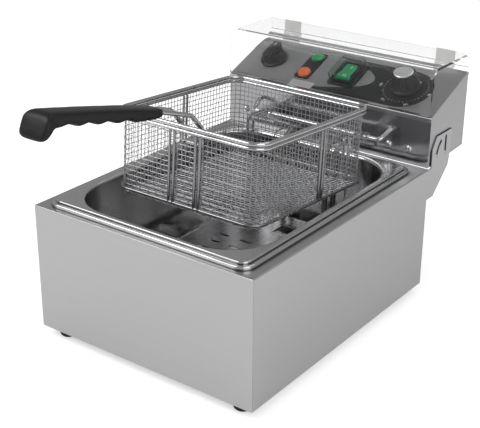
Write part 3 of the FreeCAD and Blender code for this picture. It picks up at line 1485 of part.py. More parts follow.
def check():
    """Stops if any object failed, or a cut took nothing away."""
    wrong = []
    for thing in doc.Objects:
        if "Invalid" in thing.State or "Error" in thing.State:
            raise ValueError(f"{thing.Name} is {thing.State}")
        if thing.TypeId in ("PartDesign::Pocket", "PartDesign::LinearPattern"):
            if thing.Shape.Volume > thing.BaseFeature.Shape.Volume - 1e-3:
                raise ValueError(f"{thing.Name} cut nothing")
    for node in nodes:
        shape = node.Shape
        if shape.isNull() or not shape.isValid() or not shape.Solids:
            wrong.append(node.Label)
        elif any(solid.Volume <= 0 for solid in shape.Solids):
            wrong.append(node.Label)
    if wrong:
        raise ValueError(f"no valid solid in {wrong}")


steps = (casing, feet, tank, brackets, head_sheets, head_screws, panel, controls)
for build in steps + (head_inside, pins, element, cover, basket):
    build()
doc.recompute()
check()
os.makedirs("parts", exist_ok=True)
for node in nodes:
    node.Shape.exportStep(f"parts/{node.Label}.step")
box = Part.makeCompound([node.Shape for node in nodes]).BoundBox
ends = (box.XMin, box.XMax, box.YMin, box.YMax, box.ZMin, box.ZMax)
print(len(nodes), "nodes", [round(end, 2) for end in ends])
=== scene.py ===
import logging
import math
from dataclasses import dataclass, field
from enum import Enum
from typing import Iterable, Sequence

import bmesh
import bpy
from mathutils import Matrix, Vector


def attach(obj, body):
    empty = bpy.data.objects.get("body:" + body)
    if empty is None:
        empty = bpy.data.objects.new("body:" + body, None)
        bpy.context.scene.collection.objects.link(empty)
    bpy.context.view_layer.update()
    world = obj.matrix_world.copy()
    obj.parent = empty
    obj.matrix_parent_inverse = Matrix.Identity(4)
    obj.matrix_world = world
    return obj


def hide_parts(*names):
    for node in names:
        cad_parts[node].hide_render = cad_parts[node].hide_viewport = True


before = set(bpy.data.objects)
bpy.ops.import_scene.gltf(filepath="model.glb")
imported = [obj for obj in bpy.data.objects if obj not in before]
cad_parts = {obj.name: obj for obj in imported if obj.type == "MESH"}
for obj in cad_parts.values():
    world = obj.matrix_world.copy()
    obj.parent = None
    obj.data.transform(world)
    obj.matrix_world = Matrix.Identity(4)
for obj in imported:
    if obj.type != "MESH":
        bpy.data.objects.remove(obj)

log = logging.getLogger("deep_fryer")

Point = tuple[float, float, float]
Colour = tuple[float, float, float]

# Sizes in metres, as the CAD sheet gives them.
CASING_Y = 0.015755
CASING_TOP = 0.159
HALF_DEPTH = 0.1735
SHEET = 0.001
PANEL_SLOPE = math.radians(21.4)
PANEL_FOOT = Vector((0.0, CASING_Y + HALF_DEPTH - SHEET, CASING_TOP + 0.062))
FILM_TOP = 0.0003
BASKET_TILT = math.radians(-4.3)
BASKET_HINGE = Vector((0.0, CASING_Y + HALF_DEPTH - 0.0519, CASING_TOP + 0.0833))

ON_PANEL = Matrix.Translation(PANEL_FOOT) @ Matrix.Rotation(PANEL_SLOPE, 4, "X")
ON_BASKET = Matrix.Translation(BASKET_HINGE) @ Matrix.Rotation(BASKET_TILT, 4, "X")


class Body(Enum):
    """The CAD bodies that pieces ride on."""

    HEAD = "control_head"
    BASKET = "basket"
    TIMER = "timer"
    THERMOSTAT = "thermostat"
    ROCKER = "rocker"


class Grain(Enum):
    """Which way a sheet was brushed: the scale of the grain along X, Y and Z."""

    SIDEWAYS = (5.0, 60.0, 900.0)
    UPRIGHT = (700.0, 60.0, 6.0)
    ALONG_Y = (900.0, 5.0, 120.0)
    DRAWN = (60.0, 60.0, 60.0)


# ---------------------------------------------------------------- shader tools


class Shader:
    """A material under construction, with short ways to add and join nodes."""

    def __init__(self, name: str) -> None:
        """Starts a material with an empty Principled BSDF.

        Args:
            name: The material's name.
        """
        self.material = bpy.data.materials.new(name)
        self.material.use_nodes = True
        self.tree = self.material.node_tree
        self.surface = self.tree.nodes["Principled BSDF"]

    def add(self, kind: str, **settings: object) -> bpy.types.Node:
        """Adds a node.

        Args:
            kind: The node's type, without its ShaderNode prefix.
            **settings: Attributes to set on the node.

        Returns:
            The new node.
        """
        node = self.tree.nodes.new("ShaderNode" + kind)
        for key, value in settings.items():
            setattr(node, key, value)
        return node

    def join(self, source: bpy.types.NodeSocket, target: bpy.types.NodeSocket) -> None:
        """Links one socket to another."""
        self.tree.links.new(source, target)

    def plain(self, **values: object) -> None:
        """Sets constants on the surface's own sockets.

        Args:
            **values: Socket names with underscores for spaces, and their values.
        """
        for key, value in values.items():
            self.surface.inputs[key.replace("_", " ")].default_value = value

    def place(
        self,
        scale: Point = (1.0, 1.0, 1.0),
        centre: Point = (0.0, 0.0, 0.0),
        turn: Point = (0.0, 0.0, 0.0),
    ) -> bpy.types.NodeSocket:
        """Gives Object coordinates moved to a centre, turned and scaled.

        Args:
            scale: The scale along each axis.
            centre: The point that becomes the origin.
            turn: The turn of the pattern's frame, in radians.

        Returns:
            The vector socket.
        """
        coordinates = self.add("TexCoord").outputs["Object"]
        mapping = self.add("Mapping", vector_type="TEXTURE")
        mapping.inputs["Location"].default_value = centre
        mapping.inputs["Rotation"].default_value = turn
        mapping.inputs["Scale"].default_value = tuple(1.0 / part for part in scale)
        self.join(coordinates, mapping.inputs["Vector"])
        return mapping.outputs["Vector"]

    def maths(self, operation: str, *values: object) -> bpy.types.NodeSocket:
        """Adds a Math node.

        Args:
            operation: The operation's name.
            *values: Sockets or numbers, in order.

        Returns:
            The result's socket.
        """
        node = self.add("Math", operation=operation)
        for socket, value in zip(node.inputs, values):
            if isinstance(value, bpy.types.NodeSocket):
                self.join(value, socket)
            else:
                socket.default_value = value
        return node.outputs[0]

    def mix(self, mask: object, low: object, high: object) -> bpy.types.NodeSocket:
        """Mixes two colours by a mask and gives the result's socket."""
        node = self.add("Mix", data_type="RGBA")
        for index, value in ((0, mask), (6, low), (7, high)):
            if isinstance(value, bpy.types.NodeSocket):
                self.join(value, node.inputs[index])
            elif index:
                node.inputs[index].default_value = (*value, 1.0)
            else:
                node.inputs[index].default_value = value
        return node.outputs[2]

    def use(self, group: bpy.types.NodeTree, vector: bpy.types.NodeSocket, **values: float) -> bpy.types.Node:
        """Places a node group.

        Args:
            group: The group to place.
            vector: The coordinates for its Vector input.
            **values: Values for its other inputs.

        Returns:
            The group node.
        """
        node = self.add("Group")
        node.node_tree = group
        self.join(vector, node.inputs["Vector"])
        for key, value in values.items():
            node.inputs[key].default_value = value
        return node


def group_frame(name: str, inputs: Sequence[tuple[str, float]], outputs: Sequence[str]) -> tuple:
    """Starts a node group with a Vector input.

    Args:
        name: The group's name.
        inputs: Names and defaults of its number inputs.
        outputs: Names of its outputs; one called Normal is a vector.

    Returns:
        The tree, its input node and its output node.
    """
    tree = bpy.data.node_groups.new(name, "ShaderNodeTree")
    tree.interface.new_socket("Vector", in_out="INPUT", socket_type="NodeSocketVector")
    for label, default in inputs:
        socket = tree.interface.new_socket(label, in_out="INPUT", socket_type="NodeSocketFloat")
        socket.default_value = default
    for label in outputs:
        kind = "NodeSocketVector" if label == "Normal" else "NodeSocketFloat"
        tree.interface.new_socket(label, in_out="OUTPUT", socket_type=kind)
    return tree, tree.nodes.new("NodeGroupInput"), tree.nodes.new("NodeGroupOutput")


def grain_group() -> bpy.types.NodeTree:
    """Builds the brushed grain: streaks that change tone, roughness and normal."""
    tree, start, end = group_frame(
        "brushed grain",
        [("Roughness", 0.3), ("Spread", 0.08), ("Bump", 0.1)],
        ["Tone", "Roughness", "Normal"],
    )
    noise = tree.nodes.new("ShaderNodeTexNoise")
    noise.inputs["Scale"].default_value = 1.0
    noise.inputs["Detail"].default_value = 3.0
    cloud = tree.nodes.new("ShaderNodeTexNoise")
    cloud.inputs["Scale"].default_value = 9.0
    cloud.inputs["Detail"].default_value = 2.0
    coordinates = tree.nodes.new("ShaderNodeTexCoord")
    spread = tree.nodes.new("ShaderNodeMath")
    spread.operation = "MULTIPLY_ADD"
    centred = tree.nodes.new("ShaderNodeMath")
    centred.operation = "SUBTRACT"
    centred.inputs[1].default_value = 0.5
    both = tree.nodes.new("ShaderNodeMath")
    both.operation = "MULTIPLY_ADD"
    both.inputs[1].default_value = 0.35
    bump = tree.nodes.new("ShaderNodeBump")
    bump.inputs["Distance"].default_value = 0.0002
    link = tree.links.new
    link(start.outputs["Vector"], noise.inputs["Vector"])
    link(coordinates.outputs["Object"], cloud.inputs["Vector"])
    link(cloud.outputs["Fac"], both.inputs[0])
    link(noise.outputs["Fac"], both.inputs[2])
    link(noise.outputs["Fac"], centred.inputs[0])
    link(centred.outputs[0], spread.inputs[0])
    link(start.outputs["Spread"], spread.inputs[1])
    link(start.outputs["Roughness"], spread.inputs[2])
    link(noise.outputs["Fac"], bump.inputs["Height"])
    link(start.outputs["Bump"], bump.inputs["Strength"])
    link(both.outputs[0], end.inputs["Tone"])
    link(spread.outputs[0], end.inputs["Roughness"])
    link(bump.outputs["Normal"], end.inputs["Normal"])
    return tree


def speckle_group() -> bpy.types.NodeTree:
    """Builds the fine pitting of moulded plastic and rubber, with faint handling marks."""
    tree, start, end = group_frame(
        "moulded speckle", [("Roughness", 0.4), ("Bump", 0.1)], ["Tone", "Roughness", "Normal"]
    )
    fine = tree.nodes.new("ShaderNodeTexNoise")
    fine.inputs["Scale"].default_value = 1400.0
    broad = tree.nodes.new("ShaderNodeTexNoise")
    broad.inputs["Scale"].default_value = 35.0
    broad.inputs["Detail"].default_value = 4.0
    rough = tree.nodes.new("ShaderNodeMath")
    rough.operation = "MULTIPLY_ADD"
    rough.inputs[1].default_value = 0.12
    bump = tree.nodes.new("ShaderNodeBump")
    bump.inputs["Distance"].default_value = 0.0001
    link = tree.links.new
    for noise in (fine, broad):
        link(start.outputs["Vector"], noise.inputs["Vector"])
    link(broad.outputs["Fac"], rough.inputs[0])
    link(start.outputs["Roughness"], rough.inputs[2])
    link(fine.outputs["Fac"], bump.inputs["Height"])
    link(start.outputs["Bump"], bump.inputs["Strength"])
    link(broad.outputs["Fac"], end.inputs["Tone"])
    link(rough.outputs[0], end.inputs["Roughness"])
    link(bump.outputs["Normal"], end.inputs["Normal"])
    return tree


def crevice_group() -> bpy.types.NodeTree:
    """Builds a painted shade mask from ambient occlusion for seams, slots and inside corners: 0 in the open,
    1 deep inside.
    """
    tree, start, end = group_frame("crevice", [("Reach", 0.004)], ["Depth"])
    closed = tree.nodes.new("ShaderNodeAmbientOcclusion")
    closed.samples = 6
    depth = tree.nodes.new("ShaderNodeMapRange")
    depth.inputs["From Min"].default_value = 0.92
    depth.inputs["From Max"].default_value = 0.42
    tree.links.new(start.outputs["Reach"], closed.inputs["Distance"])
    tree.links.new(closed.outputs["AO"], depth.inputs["Value"])
    tree.links.new(depth.outputs["Result"], end.inputs["Depth"])
    return tree


GRAIN = grain_group()
SPECKLE = speckle_group()
PAINTED_CREVICE_SHADE = crevice_group()


# ---------------------------------------------------------------- finishes


@dataclass(frozen=True)
class Metal:
    """A metal finish with a brushed or drawn grain."""

    name: str
    colour: Colour
    roughness: float
    grain: Grain = Grain.SIDEWAYS
    tone: float = 0.1
    bump: float = 0.08
    spread: float = 0.1
    crevice: float = 0.0

    def build(self) -> bpy.types.Material:
        """Makes the material."""
        shader = Shader(self.name)
        shader.plain(Metallic=1.0)
        spot = shader.place(self.grain.value)
        made = shader.use(GRAIN, spot, Roughness=self.roughness, Spread=self.spread, Bump=self.bump)
        dark = tuple(part * (1.0 - self.tone) for part in self.colour)
        light = tuple(min(1.0, part * (1.0 + self.tone)) for part in self.colour)
        tone = shader.mix(made.outputs["Tone"], dark, light)
        # painted shade: the base colour goes towards a dark copy in seams, slots and inside corners
        if self.crevice:
            seam_shade = shader.use(PAINTED_CREVICE_SHADE, shader.place(), Reach=self.crevice)
            tone = shader.mix(seam_shade.outputs["Depth"], tone, tuple(part * 0.12 for part in self.colour))
        shader.join(tone, shader.surface.inputs["Base Color"])
        shader.join(made.outputs["Roughness"], shader.surface.inputs["Roughness"])
        shader.join(made.outputs["Normal"], shader.surface.inputs["Normal"])
        return shader.material


@dataclass(frozen=True)
class Moulded:
    """A plastic or rubber finish with fine pitting."""

    name: str
    colour: Colour
    roughness: float
    bump: float = 0.15
    coat: float = 0.0
    glow: float = 0.0
    shine: float = 0.5

    def build(self) -> bpy.types.Material:
        """Makes the material."""
        shader = Shader(self.name)
        shader.plain(Coat_Weight=self.coat, Specular_IOR_Level=self.shine)
        made = shader.use(SPECKLE, shader.place(), Roughness=self.roughness, Bump=self.bump)
        light = tuple(min(1.0, part * 1.3 + 0.004) for part in self.colour)
        tone = shader.mix(made.outputs["Tone"], self.colour, light)
        shader.join(tone, shader.surface.inputs["Base Color"])
        shader.join(made.outputs["Roughness"], shader.surface.inputs["Roughness"])
        shader.join(made.outputs["Normal"], shader.surface.inputs["Normal"])
        # emission: the lenses' and rocker's own lamp light, and painted light on the hinge plates
        if self.glow:
            shader.join(tone, shader.surface.inputs["Emission Color"])
            shader.plain(Emission_Strength=self.glow)
        return shader.material


@dataclass(frozen=True)
class Clear:
    """A clear sheet or moulding."""

    name: str
    colour: Colour
    roughness: float
    ior: float = 1.49
    clearness: float = 1.0

    def build(self) -> bpy.types.Material:
        """Makes the material."""
        shader = Shader(self.name)
        shader.plain(Transmission_Weight=self.clearness, IOR=self.ior)
        made = shader.use(SPECKLE, shader.place(), Roughness=self.roughness, Bump=0.0)
        fine = shader.maths("MULTIPLY", made.outputs["Tone"], self.roughness * 2.0)
        light = tuple(min(1.0, part * 1.04) for part in self.colour)
        shader.join(shader.mix(made.outputs["Tone"], self.colour, light), shader.surface.inputs["Base Color"])
        shader.join(fine, shader.surface.inputs["Roughness"])
        return shader.material


@dataclass(frozen=True)
class PrintedFilm:
    """The panel's film: a grey field with a round end, and a black field round the dial."""

    name: str
    grey: Colour = (0.23, 0.23, 0.235)
    black: Colour = (0.012, 0.012, 0.013)
    field_end: float = 0.044
    field_low: float = 0.0105
    field_high: float = 0.0755
    band_start: float = -0.024

    def build(self) -> bpy.types.Material:
        """Makes the material."""
        shader = Shader(self.name)
        spot = shader.place(centre=tuple(PANEL_FOOT), turn=(PANEL_SLOPE, 0.0, 0.0))
        parts = shader.add("SeparateXYZ")
        shader.join(spot, parts.inputs[0])
        across, up = parts.outputs[0], parts.outputs[1]
        middle = (self.field_low + self.field_high) / 2
        half = (self.field_high - self.field_low) / 2
        rise = shader.maths("DIVIDE", shader.maths("SUBTRACT", up, middle), half)
        bow = shader.maths("POWER", shader.maths("ABSOLUTE", rise), 2.2)
        inset = shader.maths("MULTIPLY", bow, self.field_end - self.band_start)
        edge = shader.maths("SUBTRACT", self.field_end, inset)
        right = shader.maths("GREATER_THAN", across, edge)
        dark = shader.maths("MULTIPLY", right, shader.maths("GREATER_THAN", across, self.band_start))
        speckle = shader.use(SPECKLE, shader.place(), Roughness=0.32, Bump=0.05)
        shader.join(shader.mix(dark, self.grey, self.black), shader.surface.inputs["Base Color"])
        shader.plain(Specular_IOR_Level=0.3)
        shader.join(speckle.outputs["Roughness"], shader.surface.inputs["Roughness"])
        shader.join(speckle.outputs["Normal"], shader.surface.inputs["Normal"])
        return shader.material


# the last number of the casing, head and tank steels is the reach of their painted crevice shade
CASING_STEEL = Metal("casing steel", (0.60, 0.60, 0.605), 0.34, Grain.SIDEWAYS, 0.035, 0.02, 0.05, 0.004)
HEAD_STEEL = Metal("head steel", (0.52, 0.52, 0.53), 0.30, Grain.SIDEWAYS, 0.05, 0.03, 0.06, 0.004)
PLATE_STEEL = Metal("polished plate", (0.46, 0.46, 0.47), 0.16, Grain.UPRIGHT, 0.06, 0.04, 0.06)
TANK_STEEL = Metal("tank steel", (0.66, 0.66, 0.665), 0.17, Grain.DRAWN, 0.05, 0.02, 0.05, 0.004)
GUARD_STEEL = Metal("guard steel", (0.30, 0.30, 0.305), 0.26, Grain.ALONG_Y, 0.08, 0.04)
WIRE_CHROME = Metal("bright wire", (0.62, 0.62, 0.63), 0.14, Grain.DRAWN, 0.08, 0.03, 0.05)
WOVEN_WIRE = Metal("woven wire", (0.44, 0.44, 0.45), 0.46, Grain.DRAWN, 0.12, 0.03, 0.08)
RIB_WIRE = Metal("rib wire", (0.34, 0.34, 0.35), 0.26, Grain.DRAWN, 0.08, 0.03, 0.05)
ELEMENT_ALLOY = Metal("element alloy", (0.24, 0.23, 0.22), 0.34, Grain.DRAWN, 0.2, 0.1)
ZINC = Metal("zinc", (0.62, 0.62, 0.63), 0.24, Grain.DRAWN, 0.1, 0.05)
SPUN_CAP = Metal("spun cap", (0.90, 0.90, 0.905), 0.34, Grain.DRAWN, 0.06, 0.03)
BARE_PLATE = Metal("bare plate", (0.80, 0.80, 0.80), 0.42, Grain.SIDEWAYS)
GRIP_PLASTIC = Moulded("grip plastic", (0.008, 0.008, 0.009), 0.34, 0.2, shine=0.3)
KNOB_PLASTIC = Moulded("knob plastic", (0.006, 0.006, 0.007), 0.24, 0.1, shine=0.35)
FOOT_RUBBER = Moulded("foot rubber", (0.012, 0.012, 0.013), 0.6, 0.4)
INNER_PLASTIC = Moulded("inner plastic", (0.06, 0.06, 0.065), 0.45)
TERMINAL_WHITE = Moulded("terminal white", (0.62, 0.62, 0.6), 0.4)
GREEN_LENS = Moulded("green lens", (0.0, 0.22, 0.06), 0.12, 0.0, 0.5, 0.12)
AMBER_LENS = Moulded("amber lens", (0.55, 0.10, 0.01), 0.12, 0.0, 0.5, 0.14)
GREEN_ROCKER = Moulded("green rocker", (0.0, 0.24, 0.08), 0.14, 0.0, 0.5, 0.30)
RESET_RED = Moulded("reset red", (0.5, 0.02, 0.02), 0.3)
# pale hinge colour, plus a painted glow that stands in for the light the clear cover keeps off the hinges
HINGE_PALE_PAINTED_GLOW = Moulded("hinge plate painted glow", (0.62, 0.62, 0.61), 0.4, glow=0.3)
MARK_WHITE = Moulded("mark white", (0.75, 0.75, 0.74), 0.4, 0.02)
FILM_PRINT = PrintedFilm("film print")
COVER_CLEAR = Clear("cover clear", (0.985, 0.99, 0.99), 0.02, 1.14, 0.985)
BOOT_CLEAR = Clear("boot clear", (0.80, 0.87, 0.83), 0.04, 1.12)


# ---------------------------------------------------------------- mesh tools


def in_place(mesh: bmesh.types.BMesh, place: Matrix) -> None:
    """Moves a bmesh's points by a matrix."""
    bmesh.ops.transform(mesh, matrix=place, verts=mesh.verts)


def finished(
    name: str, mesh: bmesh.types.BMesh, material: bpy.types.Material, smooth: float = 35.0
) -> bpy.types.Object:
    """Turns a bmesh into an object at the origin.

    Args:
        name: The piece's name.
        mesh: The bmesh, already in the object's frame. It is freed.
        material: The piece's material.
        smooth: Edges bent by less than this many degrees are shaded smooth.

    Returns:
        The object.
    """
    bmesh.ops.recalc_face_normals(mesh, faces=mesh.faces)
    data = bpy.data.meshes.new(name)
    mesh.to_mesh(data)
    mesh.free()
    return linked(name, data, material, smooth)


def linked(
    name: str, data: bpy.types.Mesh, material: bpy.types.Material, smooth: float = 35.0
) -> bpy.types.Object:
    """Links mesh data to the scene as an object with one material.

    Args:
        name: The piece's name.
        data: Its mesh.
        material: Its material.
        smooth: Edges bent by less than this many degrees are shaded smooth.

    Returns:
        The object.
    """
    data.materials.clear()
    data.materials.append(material)
    data.shade_smooth()
    data.set_sharp_from_angle(angle=math.radians(smooth))
    made = bpy.data.objects.new(name, data)
    bpy.context.scene.collection.objects.link(made)
    return made


def wires(
    name: str, lines: Iterable[Sequence[Vector]], radius: float, sides: int, material: bpy.types.Material
) -> bpy.types.Object:
    """Makes round wires along open lines of points.

    Args:
        name: The piece's name.
        lines: One list of points for each wire.
        radius: The wires' radius.
        sides: The curve's bevel resolution.
        material: The wires' material.

    Returns:
        The object.
    """
    curve = bpy.data.curves.new(name + "_line", "CURVE")
    curve.dimensions = "3D"
    curve.bevel_depth = radius
    curve.bevel_resolution = sides
    curve.use_fill_caps = True
    for line in lines:
        spline = curve.splines.new("POLY")
        spline.points.add(len(line) - 1)
        for point, place in zip(spline.points, line):
            point.co = (*place, 1.0)
    holder = bpy.data.objects.new(name + "_line", curve)
    data = bpy.data.meshes.new_from_object(holder)
    bpy.data.objects.remove(holder)
    bpy.data.curves.remove(curve)
    return linked(name, data, material, 60.0)


def outline_ring(mesh: bmesh.types.BMesh, points: Sequence[Point]) -> list[bmesh.types.BMEdge]:
    """Adds a closed ring of edges to a bmesh, as a circle whose points are set."""
    made = bmesh.ops.create_circle(mesh, cap_ends=False, radius=1.0, segments=len(points))["verts"]
    for vertex, place in zip(made, points):
        vertex.co = place
    return list({edge for vertex in made for edge in vertex.link_edges})


def loft(mesh: bmesh.types.BMesh, rings: Sequence[Sequence[Point]], caps: bool = True) -> None:
    """Bridges rings with equal counts of points into one closed skin.

    Args:
        mesh: The bmesh to add to.
        rings: Rings of points, in order.
        caps: Whether the first and last ring get a face.
    """
    loops = [outline_ring(mesh, ring) for ring in rings]
    for before, after in zip(loops, loops[1:]):
        bmesh.ops.bridge_loops(mesh, edges=before + after)
    if caps:
        for loop in (loops[0], loops[-1]):
            bmesh.ops.contextual_create(mesh, geom=loop)


def raised_bar(size: Point, edge: float) -> bmesh.types.BMesh:
    """Makes a small raised line with broken edges.

    Args:
        size: Its width, length and thickness.
        edge: The size of the broken edges.

    Returns:
        The bmesh, centred on the origin.
    """
    mesh = bmesh.new()
    bmesh.ops.create_cube(mesh, size=1.0)
    bmesh.ops.scale(mesh, vec=size, verts=mesh.verts)
    bmesh.ops.bevel(
        mesh, geom=mesh.edges, offset=edge, segments=1, profile=0.5, affect="EDGES", material=-1
    )
    return mesh


def show(piece: bpy.types.Object, body: Body, slot: str, *nodes: str) -> None:
    """Rides a piece on its body and hides the CAD nodes that it stands for."""
    if nodes:
        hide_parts(*nodes)
    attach(piece, body.value)
    log.info("%s: %d faces, rides on %s", piece.name, len(piece.data.polygons), body.value)


# ---------------------------------------------------------------- basket


@dataclass
class WovenBasket:
    """The basket's woven wire body, in the basket's own frame with the rim's rear at the origin."""

    half_width: float = 0.0922
    rim_inset: float = 0.0048
    length: float = 0.218
    height: float = 0.095
    corner: float = 0.0147
    floor_bend: float = 0.005
    wire: float = 0.00042
    weave: float = 0.00042
    across: int = 28
    along: int = 32
    round_corner: int = 4
    rows: int = 16
    top_row: float = -0.0066
    material: bpy.types.Material = field(default_factory=WOVEN_WIRE.build)

    def wall(self) -> list[tuple[Vector, Vector]]:
        """Lists the places of the upright wires round the wall.

        Returns:
            A point on the wall's middle and the outward normal there, for each wire.
        """
        half_y = self.length / 2 - self.rim_inset - 0.0005
        centre = Vector((0.0, -self.length / 2, 0.0))
        flat_x, flat_y = self.half_width - self.corner, half_y - self.corner
        places: list[tuple[Vector, Vector]] = []
        sides = (
            (Vector((flat_x, -half_y, 0)), Vector((-1, 0, 0)), flat_x * 2, self.across),
            (Vector((-self.half_width, -flat_y, 0)), Vector((0, 1, 0)), flat_y * 2, self.along),
            (Vector((-flat_x, half_y, 0)), Vector((1, 0, 0)), flat_x * 2, self.across),
            (Vector((self.half_width, flat_y, 0)), Vector((0, -1, 0)), flat_y * 2, self.along),
        )
        for start, ahead, run, count in sides:
            out = Vector((-ahead.y, ahead.x, 0))
            for step in range(count + 1):
                places.append((centre + start + ahead * run * step / count, out))
            pivot = start + ahead * run - out * self.corner
            for step in range(1, self.round_corner):
                turn = Matrix.Rotation(-math.pi / 2 * step / self.round_corner, 3, "Z")
                way = turn @ out
                places.append((centre + pivot + way * self.corner, way))
        return places

    def row_height(self, row: int) -> float:
        """Gives the height of a level wire."""
        lowest = -self.height + self.floor_bend + 0.0006
        return self.top_row + (lowest - self.top_row) * row / (self.rows - 1)

    def wall_lines(self) -> list[list[Vector]]:
        """Weaves the upright and the level wires of the wall."""
        places = self.wall()
        lines = []
        for index, (spot, out) in enumerate(places):
            line = [spot + Vector((0, 0, -0.0045))]
            for row in range(self.rows):
                side = self.weave if (index + row) % 2 else -self.weave
                line.append(spot + out * side + Vector((0, 0, self.row_height(row))))
            lines.append(line)
        for row in range(self.rows):
            line = []
            for index, (spot, out) in enumerate(places + places[:1]):
                side = -self.weave if (index + row) % 2 else self.weave
                line.append(spot + out * side + Vector((0, 0, self.row_height(row))))
            lines.append(line)
        return lines

    def floor_lines(self) -> list[list[Vector]]:
        """Weaves the floor's wires, which turn up at both ends to meet the wall."""
        half_x = self.half_width
        half_y = self.length / 2 - self.rim_inset - 0.0005
        pitch_x = (half_x - self.corner) * 2 / self.across
        pitch_y = (half_y - self.corner) * 2 / self.along
        middle = -self.length / 2
        level = -self.height + 0.0007
        lines = []

        def reach(along: float, half_a: float, half_b: float) -> float:
            """Half the length of a floor wire at a distance from the middle."""
            over = max(0.0, abs(along) - (half_a - self.corner))
            return half_b - self.corner + math.sqrt(max(0.0, self.corner**2 - over**2))

        for axis, half_a, half_b, pitch, other, count in (
            (0, half_x, half_y, pitch_x, pitch_y, self.across),
            (1, half_y, half_x, pitch_y, pitch_x, self.along),
        ):
            for step in range(-count // 2 - 2, count // 2 + 3):
                along = step * pitch
                end = reach(along, half_a, half_b)
                inner = end - self.floor_bend
                crossings = int(inner / other)
                line = []
                for turn in (-1, 1):
                    bend = []
                    for part in range(4):
                        angle = math.pi / 2 * part / 3
                        out = inner + self.floor_bend * math.sin(angle)
                        bend.append((turn * out, level + self.floor_bend * (1 - math.cos(angle))))
                    line += bend[::-1] if turn < 0 else []
                    if turn < 0:
                        for cross in range(-crossings, crossings + 1):
                            side = self.weave if (cross + step + axis) % 2 else -self.weave
                            line.append((cross * other, level + side))
                    else:
                        line += bend
                points = []
                for far, z in line:
                    spot = (along, middle + far, z) if axis == 0 else (far, middle + along, z)
                    points.append(Vector(spot))
                lines.append(points)
        return lines

    def build(self) -> bpy.types.Object:
        """Makes the woven body.

        Returns:
            The piece.
        """
        lines = [[ON_BASKET @ point for point in line] for line in self.wall_lines() + self.floor_lines()]
        piece = wires("woven_basket", lines, self.wire, 0, self.material)
        show(piece, Body.BASKET, "bright_wire", "basket_mesh")
        return piece


@dataclass
class HandleGrip:
    """The moulded grip: stations give its top and bottom line in the basket's frame."""

    half_width: float = 0.0130
    points: int = 24
    squareness: float = 4.2
    crest: tuple[tuple[float, float], ...] = (
        (-0.2655, 0.0284),
        (-0.3035, 0.0360),
        (-0.3585, 0.0454),
        (-0.4075, 0.0531),
        (-0.4235, 0.0550),
    )
    keel: tuple[tuple[float, float], ...] = (
        (-0.2655, 0.0195),
        (-0.2735, 0.0187),
        (-0.2995, 0.0211),
        (-0.3535, 0.0297),
        (-0.4035, 0.0370),
        (-0.4235, 0.0400),
    )
    scallop_start: float = -0.3015
    scallop_pitch: float = 0.0257
    scallop_count: int = 4
    scallop_depth: float = 0.0028
    material: bpy.types.Material = field(default_factory=GRIP_PLASTIC.build)

    @staticmethod
    def height(table: Sequence[tuple[float, float]], y: float) -> float:
        """Reads a height from a table of (y, height) rows by straight lines between them."""
        for (y0, z0), (y1, z1) in zip(table, table[1:]):
            if y >= y1:
                return z0 + (z1 - z0) * (y - y0) / (y1 - y0)
        return table[-1][1]

    def bottom(self, y: float) -> float:
        """Gives the height of the grip's underside, with its finger hollows."""
        line = self.height(self.keel, y)
        end = self.scallop_start - self.scallop_pitch * self.scallop_count
        if end < y < self.scallop_start:
            phase = (self.scallop_start - y) / self.scallop_pitch
            line += self.scallop_depth * (1 - math.cos(2 * math.pi * phase)) / 2
        return line

    def stations(self) -> list[tuple[Vector, Vector, float]]:
        """Lists top point, bottom point and half width of each cross-section."""
        rows = [
            (Vector((0, -0.2638, 0.0267)), Vector((0, -0.2638, 0.0213)), 0.0090),
            (Vector((0, -0.2641, 0.0277)), Vector((0, -0.2643, 0.0203)), 0.0108),
            (Vector((0, -0.2653, 0.0285)), Vector((0, -0.2657, 0.0195)), 0.0120),
        ]
        count = 44
        for step in range(count + 1):
            y = -0.2675 - 0.1365 * step / count
            lean = -0.0035 * step / count
            wide = min(self.half_width, 0.0123 + 0.0007 * step / 6)
            top = Vector((0, y + lean, self.height(self.crest, y + lean)))
            rows.append((top, Vector((0, y, self.bottom(y))), wide))
        rows.append((Vector((0, -0.4110, 0.0536)), Vector((0, -0.4105, 0.0379)), 0.0134))
        rows.append((Vector((0, -0.4133, 0.0538)), Vector((0, -0.4157, 0.0343)), 0.0148))
        rows.append((Vector((0, -0.4157, 0.0537)), Vector((0, -0.4210, 0.0303)), 0.0162))
        rows.append((Vector((0, -0.4185, 0.0529)), Vector((0, -0.4257, 0.0289)), 0.0169))
        rows.append((Vector((0, -0.4207, 0.0513)), Vector((0, -0.4286, 0.0296)), 0.0168))
        rows.append((Vector((0, -0.4225, 0.0493)), Vector((0, -0.4301, 0.0317)), 0.0158))
        return rows

    def build(self) -> bpy.types.Object:
        """Makes the grip.

        Returns:
            The piece.
        """
        rings = []
        for high, low, wide in self.stations():
            middle, half = (high + low) / 2, (high - low) / 2
            ring = []
            for index in range(self.points):
                angle = 2 * math.pi * index / self.points
                c, s = math.cos(angle), math.sin(angle)
                power = 2 / self.squareness
                c = math.copysign(abs(c) ** power, c)
                s = math.copysign(abs(s) ** power, s)
                ring.append(middle + Vector((wide * c, 0, 0)) + half * s)
            rings.append(ring)
        mesh = bmesh.new()
        loft(mesh, rings)
        in_place(mesh, ON_BASKET)
        piece = finished("moulded_grip", mesh, self.material, 60.0)
        smooth = piece.modifiers.new("soften", "SUBSURF")
        smooth.levels = smooth.render_levels = 1
        show(piece, Body.BASKET, "handle_plastic", "handle_grip")
        return piece


# ---------------------------------------------------------------- controls


